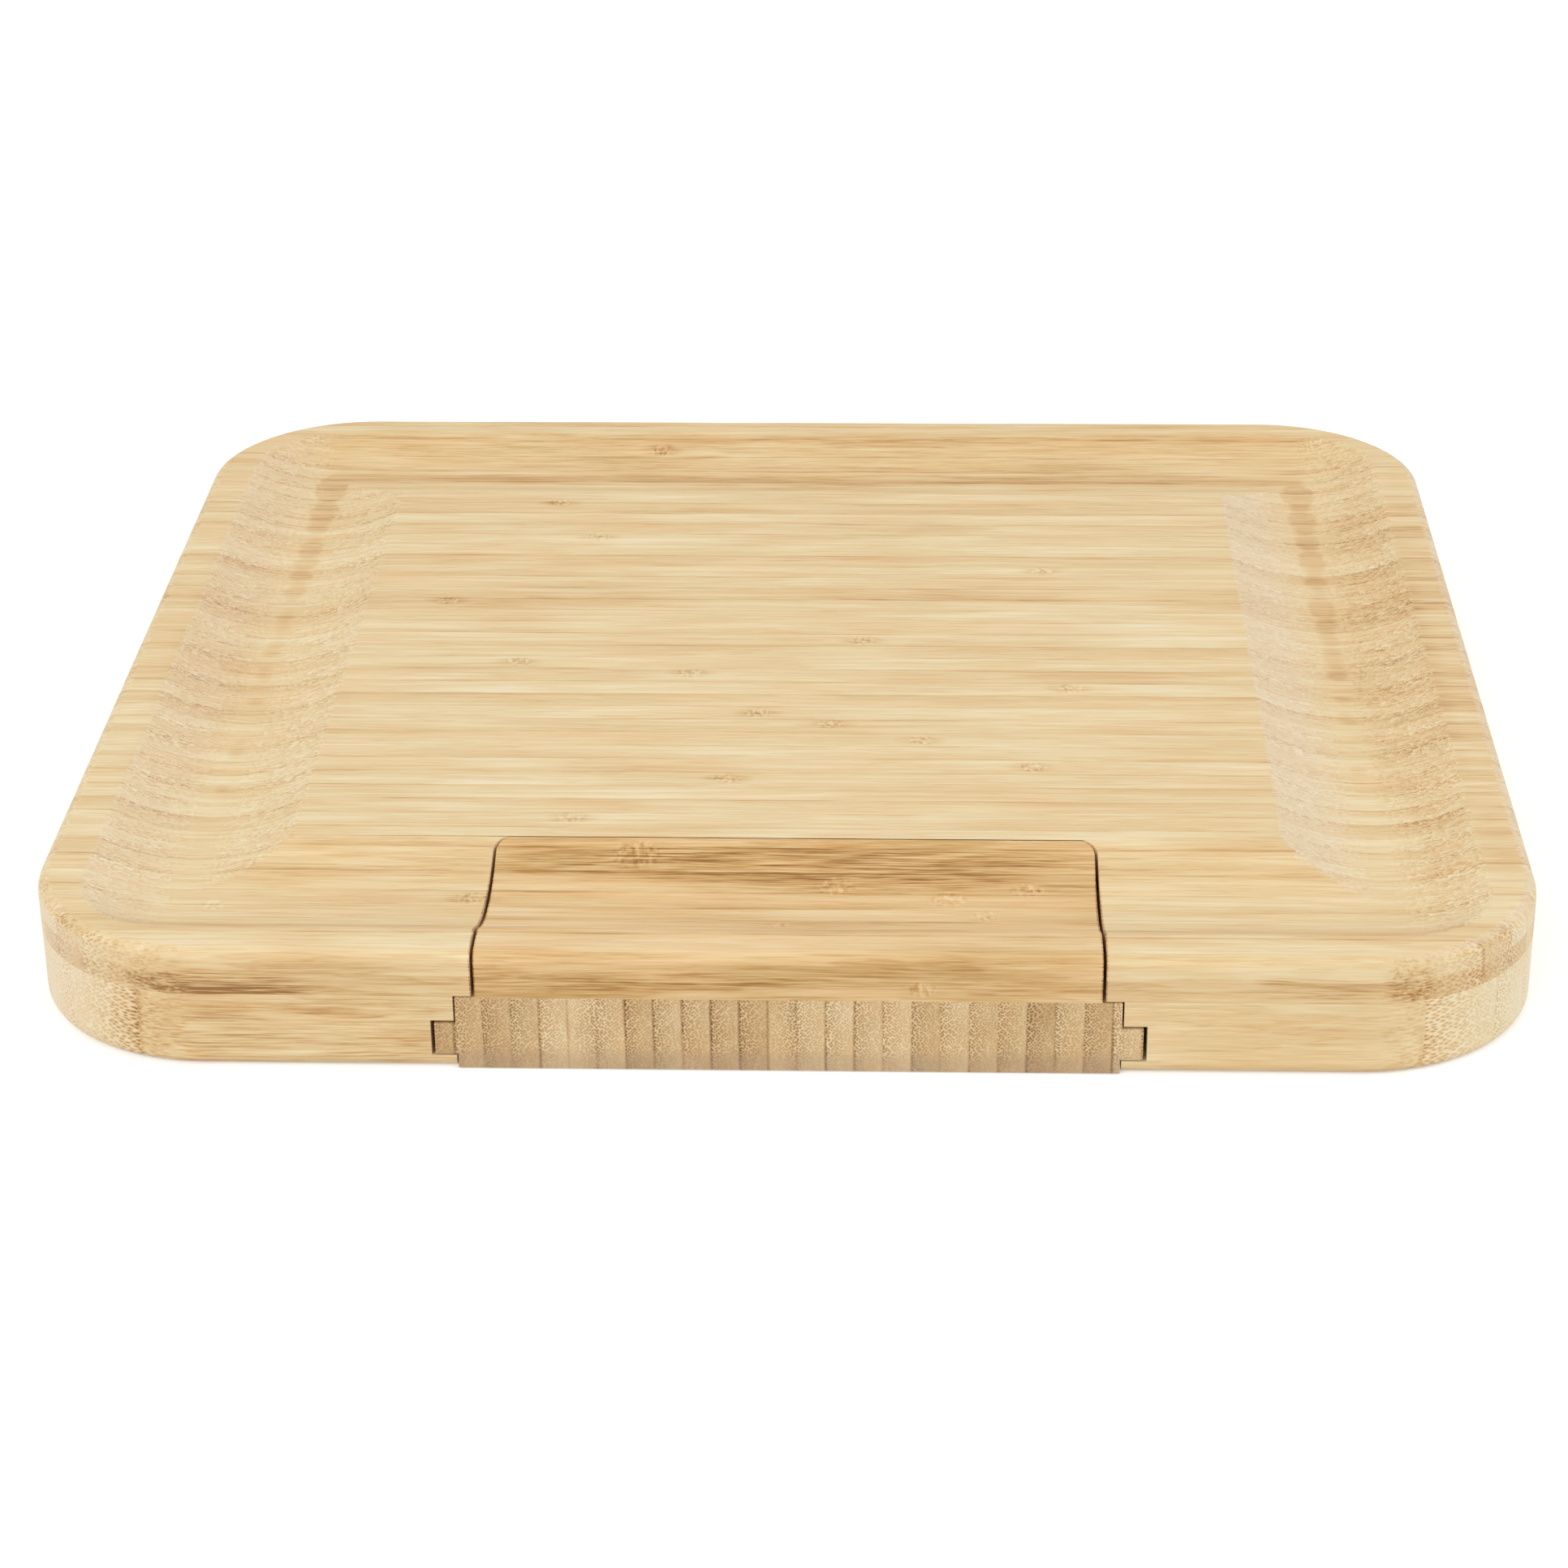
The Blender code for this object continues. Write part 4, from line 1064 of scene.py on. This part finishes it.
# %% Helpers and sections for smooth lofts
def smooth(stations, steps):
    """A smooth curve through stations of several values each (Catmull-Rom)."""
    values = []
    for i in range(len(stations) - 1):
        a, b = stations[max(i - 1, 0)], stations[i]
        c, d = stations[i + 1], stations[min(i + 2, len(stations) - 1)]
        for t in (step / steps for step in range(steps)):
            values.append(tuple(
                q + t / 2 * (r - p + t * (2 * p - 5 * q + 4 * r - s + t * (3 * q - p - 3 * r + s)))
                for p, q, r, s in zip(a, b, c, d)
            ))
    return values + [stations[-1]]


def oval(width, height, x, y, z, points=40):
    """A ring square to Y."""
    angles = [2 * math.pi * i / points for i in range(points)]
    return [(x + width / 2 * math.cos(a), y, z + height / 2 * math.sin(a)) for a in angles]


HANDLE_LENGTH, HANDLE_WIDTH, HANDLE_HEIGHT = 0.075, 0.0135, 0.009
FERRULE_LENGTH, NECK_LENGTH, NECK_DIAMETER = 0.009, 0.007, 0.0042
BLADE_LENGTH, BLADE_THICKNESS, BLADE_GRIND = 0.057, 0.0016, 0.0022
TANG_LENGTH, TANG_GAP = 0.020, 0.0003
TINE_GAP_HALF, TINE_LENGTH = 0.002527, 0.038
NECK = (
    (0.0105, 1.0, 1.0), (0.0125, 1.0, 0.92), (0.0155, 1.06, 0.62), (0.0185, 1.0, 0.42),
    (0.0215, 0.7, 0.34),
)
# Two grooves are turned into the ferrule, and it narrows towards the blade.
FERRULE = (
    (0.0, 0.96), (0.03, 1.0), (0.24, 1.0), (0.27, 0.96), (0.31, 0.96), (0.34, 1.0), (0.38, 1.0),
    (0.41, 0.96), (0.45, 0.96), (0.48, 1.0), (0.56, 0.97), (0.80, 0.84), (0.97, 0.75), (1.0, 0.72),
)
HANDLE = (
    (0.00, 0.74, 0.86), (0.08, 0.80, 0.92), (0.25, 0.92, 1.00), (0.45, 0.88, 0.97),
    (0.65, 0.92, 0.98), (0.82, 1.00, 1.00), (0.93, 0.93, 0.94), (0.985, 0.72, 0.74),
    (1.00, 0.48, 0.50),
)
CLEAVER = (
    (0.00, 0.19), (0.07, 0.42), (0.15, 0.86), (0.21, 1.00),
    (0.60, 0.98), (0.94, 0.95), (1.00, 0.86),
)
SPADE = (
    (0.00, 0.195), (0.08, 0.50), (0.18, 0.88), (0.28, 1.00), (0.42, 0.96),
    (0.58, 0.78), (0.74, 0.52), (0.88, 0.26), (1.00, 0.05),
)
FORK = (
    (0.00, 0.31), (0.09, 0.60), (0.20, 0.94), (0.28, 1.00),
    (0.60, 0.96), (0.85, 0.88), (1.00, 0.66),
)
SPREADER = (
    (0.00, 0.26), (0.10, 0.42), (0.26, 0.66), (0.48, 0.90), (0.68, 1.00),
    (0.84, 0.90), (0.94, 0.62), (1.00, 0.24),
)
TOOLS = (
    ("cleaver", 0.0225, CLEAVER), ("spade", 0.0220, SPADE), ("fork", 0.01404, FORK),
    ("spreader", 0.01651, SPREADER),
)
print("blades in mm:", {name: round(1000 * width, 1) for name, width, _ in TOOLS})

# %% Functions for a tool's handle, ferrule and blade
FERRULE_Y = TOOL_Y + TANG_GAP
BLADE_Y = FERRULE_Y + FERRULE_LENGTH + NECK_LENGTH


def make_handle(name, x, tang_hole):
    """A turned handle with a blind hole for the tang."""
    handle = loft(name + "_handle_wood", [
        oval(HANDLE_WIDTH * wide, HANDLE_HEIGHT * high, x, TOOL_Y - HANDLE_LENGTH * along, TOOL_Z)
        for along, wide, high in smooth(HANDLE, 6)
    ])
    cut(handle, lengthwise(tang_hole, TOOL_Y - TANG_LENGTH - TANG_GAP, TOOL_Y + PAST))
    finish(handle, handle_wood, "drawer", "bamboo_handle", name + "_handle")


def make_ferrule(name, x, tang_hole):
    """A steel collar that takes its size from the handle's end."""
    _, wide, high = HANDLE[0]
    wide, high = HANDLE_WIDTH * wide, HANDLE_HEIGHT * high
    ferrule = loft(name + "_ferrule_steel", [
        oval(wide * share, high * share, x, FERRULE_Y + FERRULE_LENGTH * along, TOOL_Z)
        for along, share in FERRULE
    ])
    cut(ferrule, lengthwise(tang_hole, TOOL_Y - PAST, BLADE_Y))
    finish(ferrule, steel, "drawer", "stainless_steel", name + "_ferrule")


def make_blade(name, x, width, stations):
    """A blade, flat in the middle and ground thin on both sides, with its neck and tang."""
    rings = []
    for along, share in smooth(stations, 6):
        half, thick = share * width / 2, BLADE_THICKNESS / 2
        flat, y = max(half - BLADE_GRIND, half * 0.4), BLADE_Y + along * BLADE_LENGTH
        edge = thick * 0.12
        rings.append([(x + px, y, TOOL_Z + pz) for px, pz in (
            (-half, -edge), (-flat, -thick), (flat, -thick), (half, -edge),
            (half, edge), (flat, thick), (-flat, thick), (-half, edge),
        )])
    blade = loft(name + "_blade_steel", rings)
    neck = loft("neck", [
        oval(NECK_DIAMETER * wide, NECK_DIAMETER * high, x, TOOL_Y + y, TOOL_Z)
        for y, wide, high in [(-TANG_LENGTH, 1, 1), *smooth(NECK, 6)]
    ])
    cut(blade, neck, "UNION")
    if name == "fork":
        tip, half = BLADE_Y + BLADE_LENGTH, TINE_GAP_HALF
        between = [(x + half, tip + PAST), (x - half, tip + PAST)]
        between += arc((x, tip - TINE_LENGTH + half), half, 180, 360, 16)
        cut(blade, upright(between, TOOL_Z - PAST, TOOL_Z + PAST))
    finish(blade, steel, "drawer", "stainless_steel", name + "_blade")


print("the blades start", round(1000 * (BLADE_Y - TOOL_Y), 1), "mm beyond the handles")

# %% Make the four tools
for index, (name, width, stations) in enumerate(TOOLS):
    x = OFF_CENTRE + POCKET_PITCH * (index - (POCKETS - 1) / 2)
    tang_hole = circle((x, TOOL_Z), TANG_HOLE, 24)
    make_handle(name, x, tang_hole)
    make_ferrule(name, x, tang_hole)
    make_blade(name, x, width, stations)

# %% [markdown]
# ## Pins and magnets
#
# These CAD pieces have the right shape already. They only need their metals.

# %% Give the small metal parts their finish
SMALL_METAL = {
    "stop_pin_left": pin_metal, "stop_pin_right": pin_metal,
    "magnet_board": nickel, "magnet_drawer": nickel,
}
for name, metal in SMALL_METAL.items():
    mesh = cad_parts[name].data
    mesh.materials.clear()
    mesh.materials.append(metal)
    print(name, "is", metal.name)
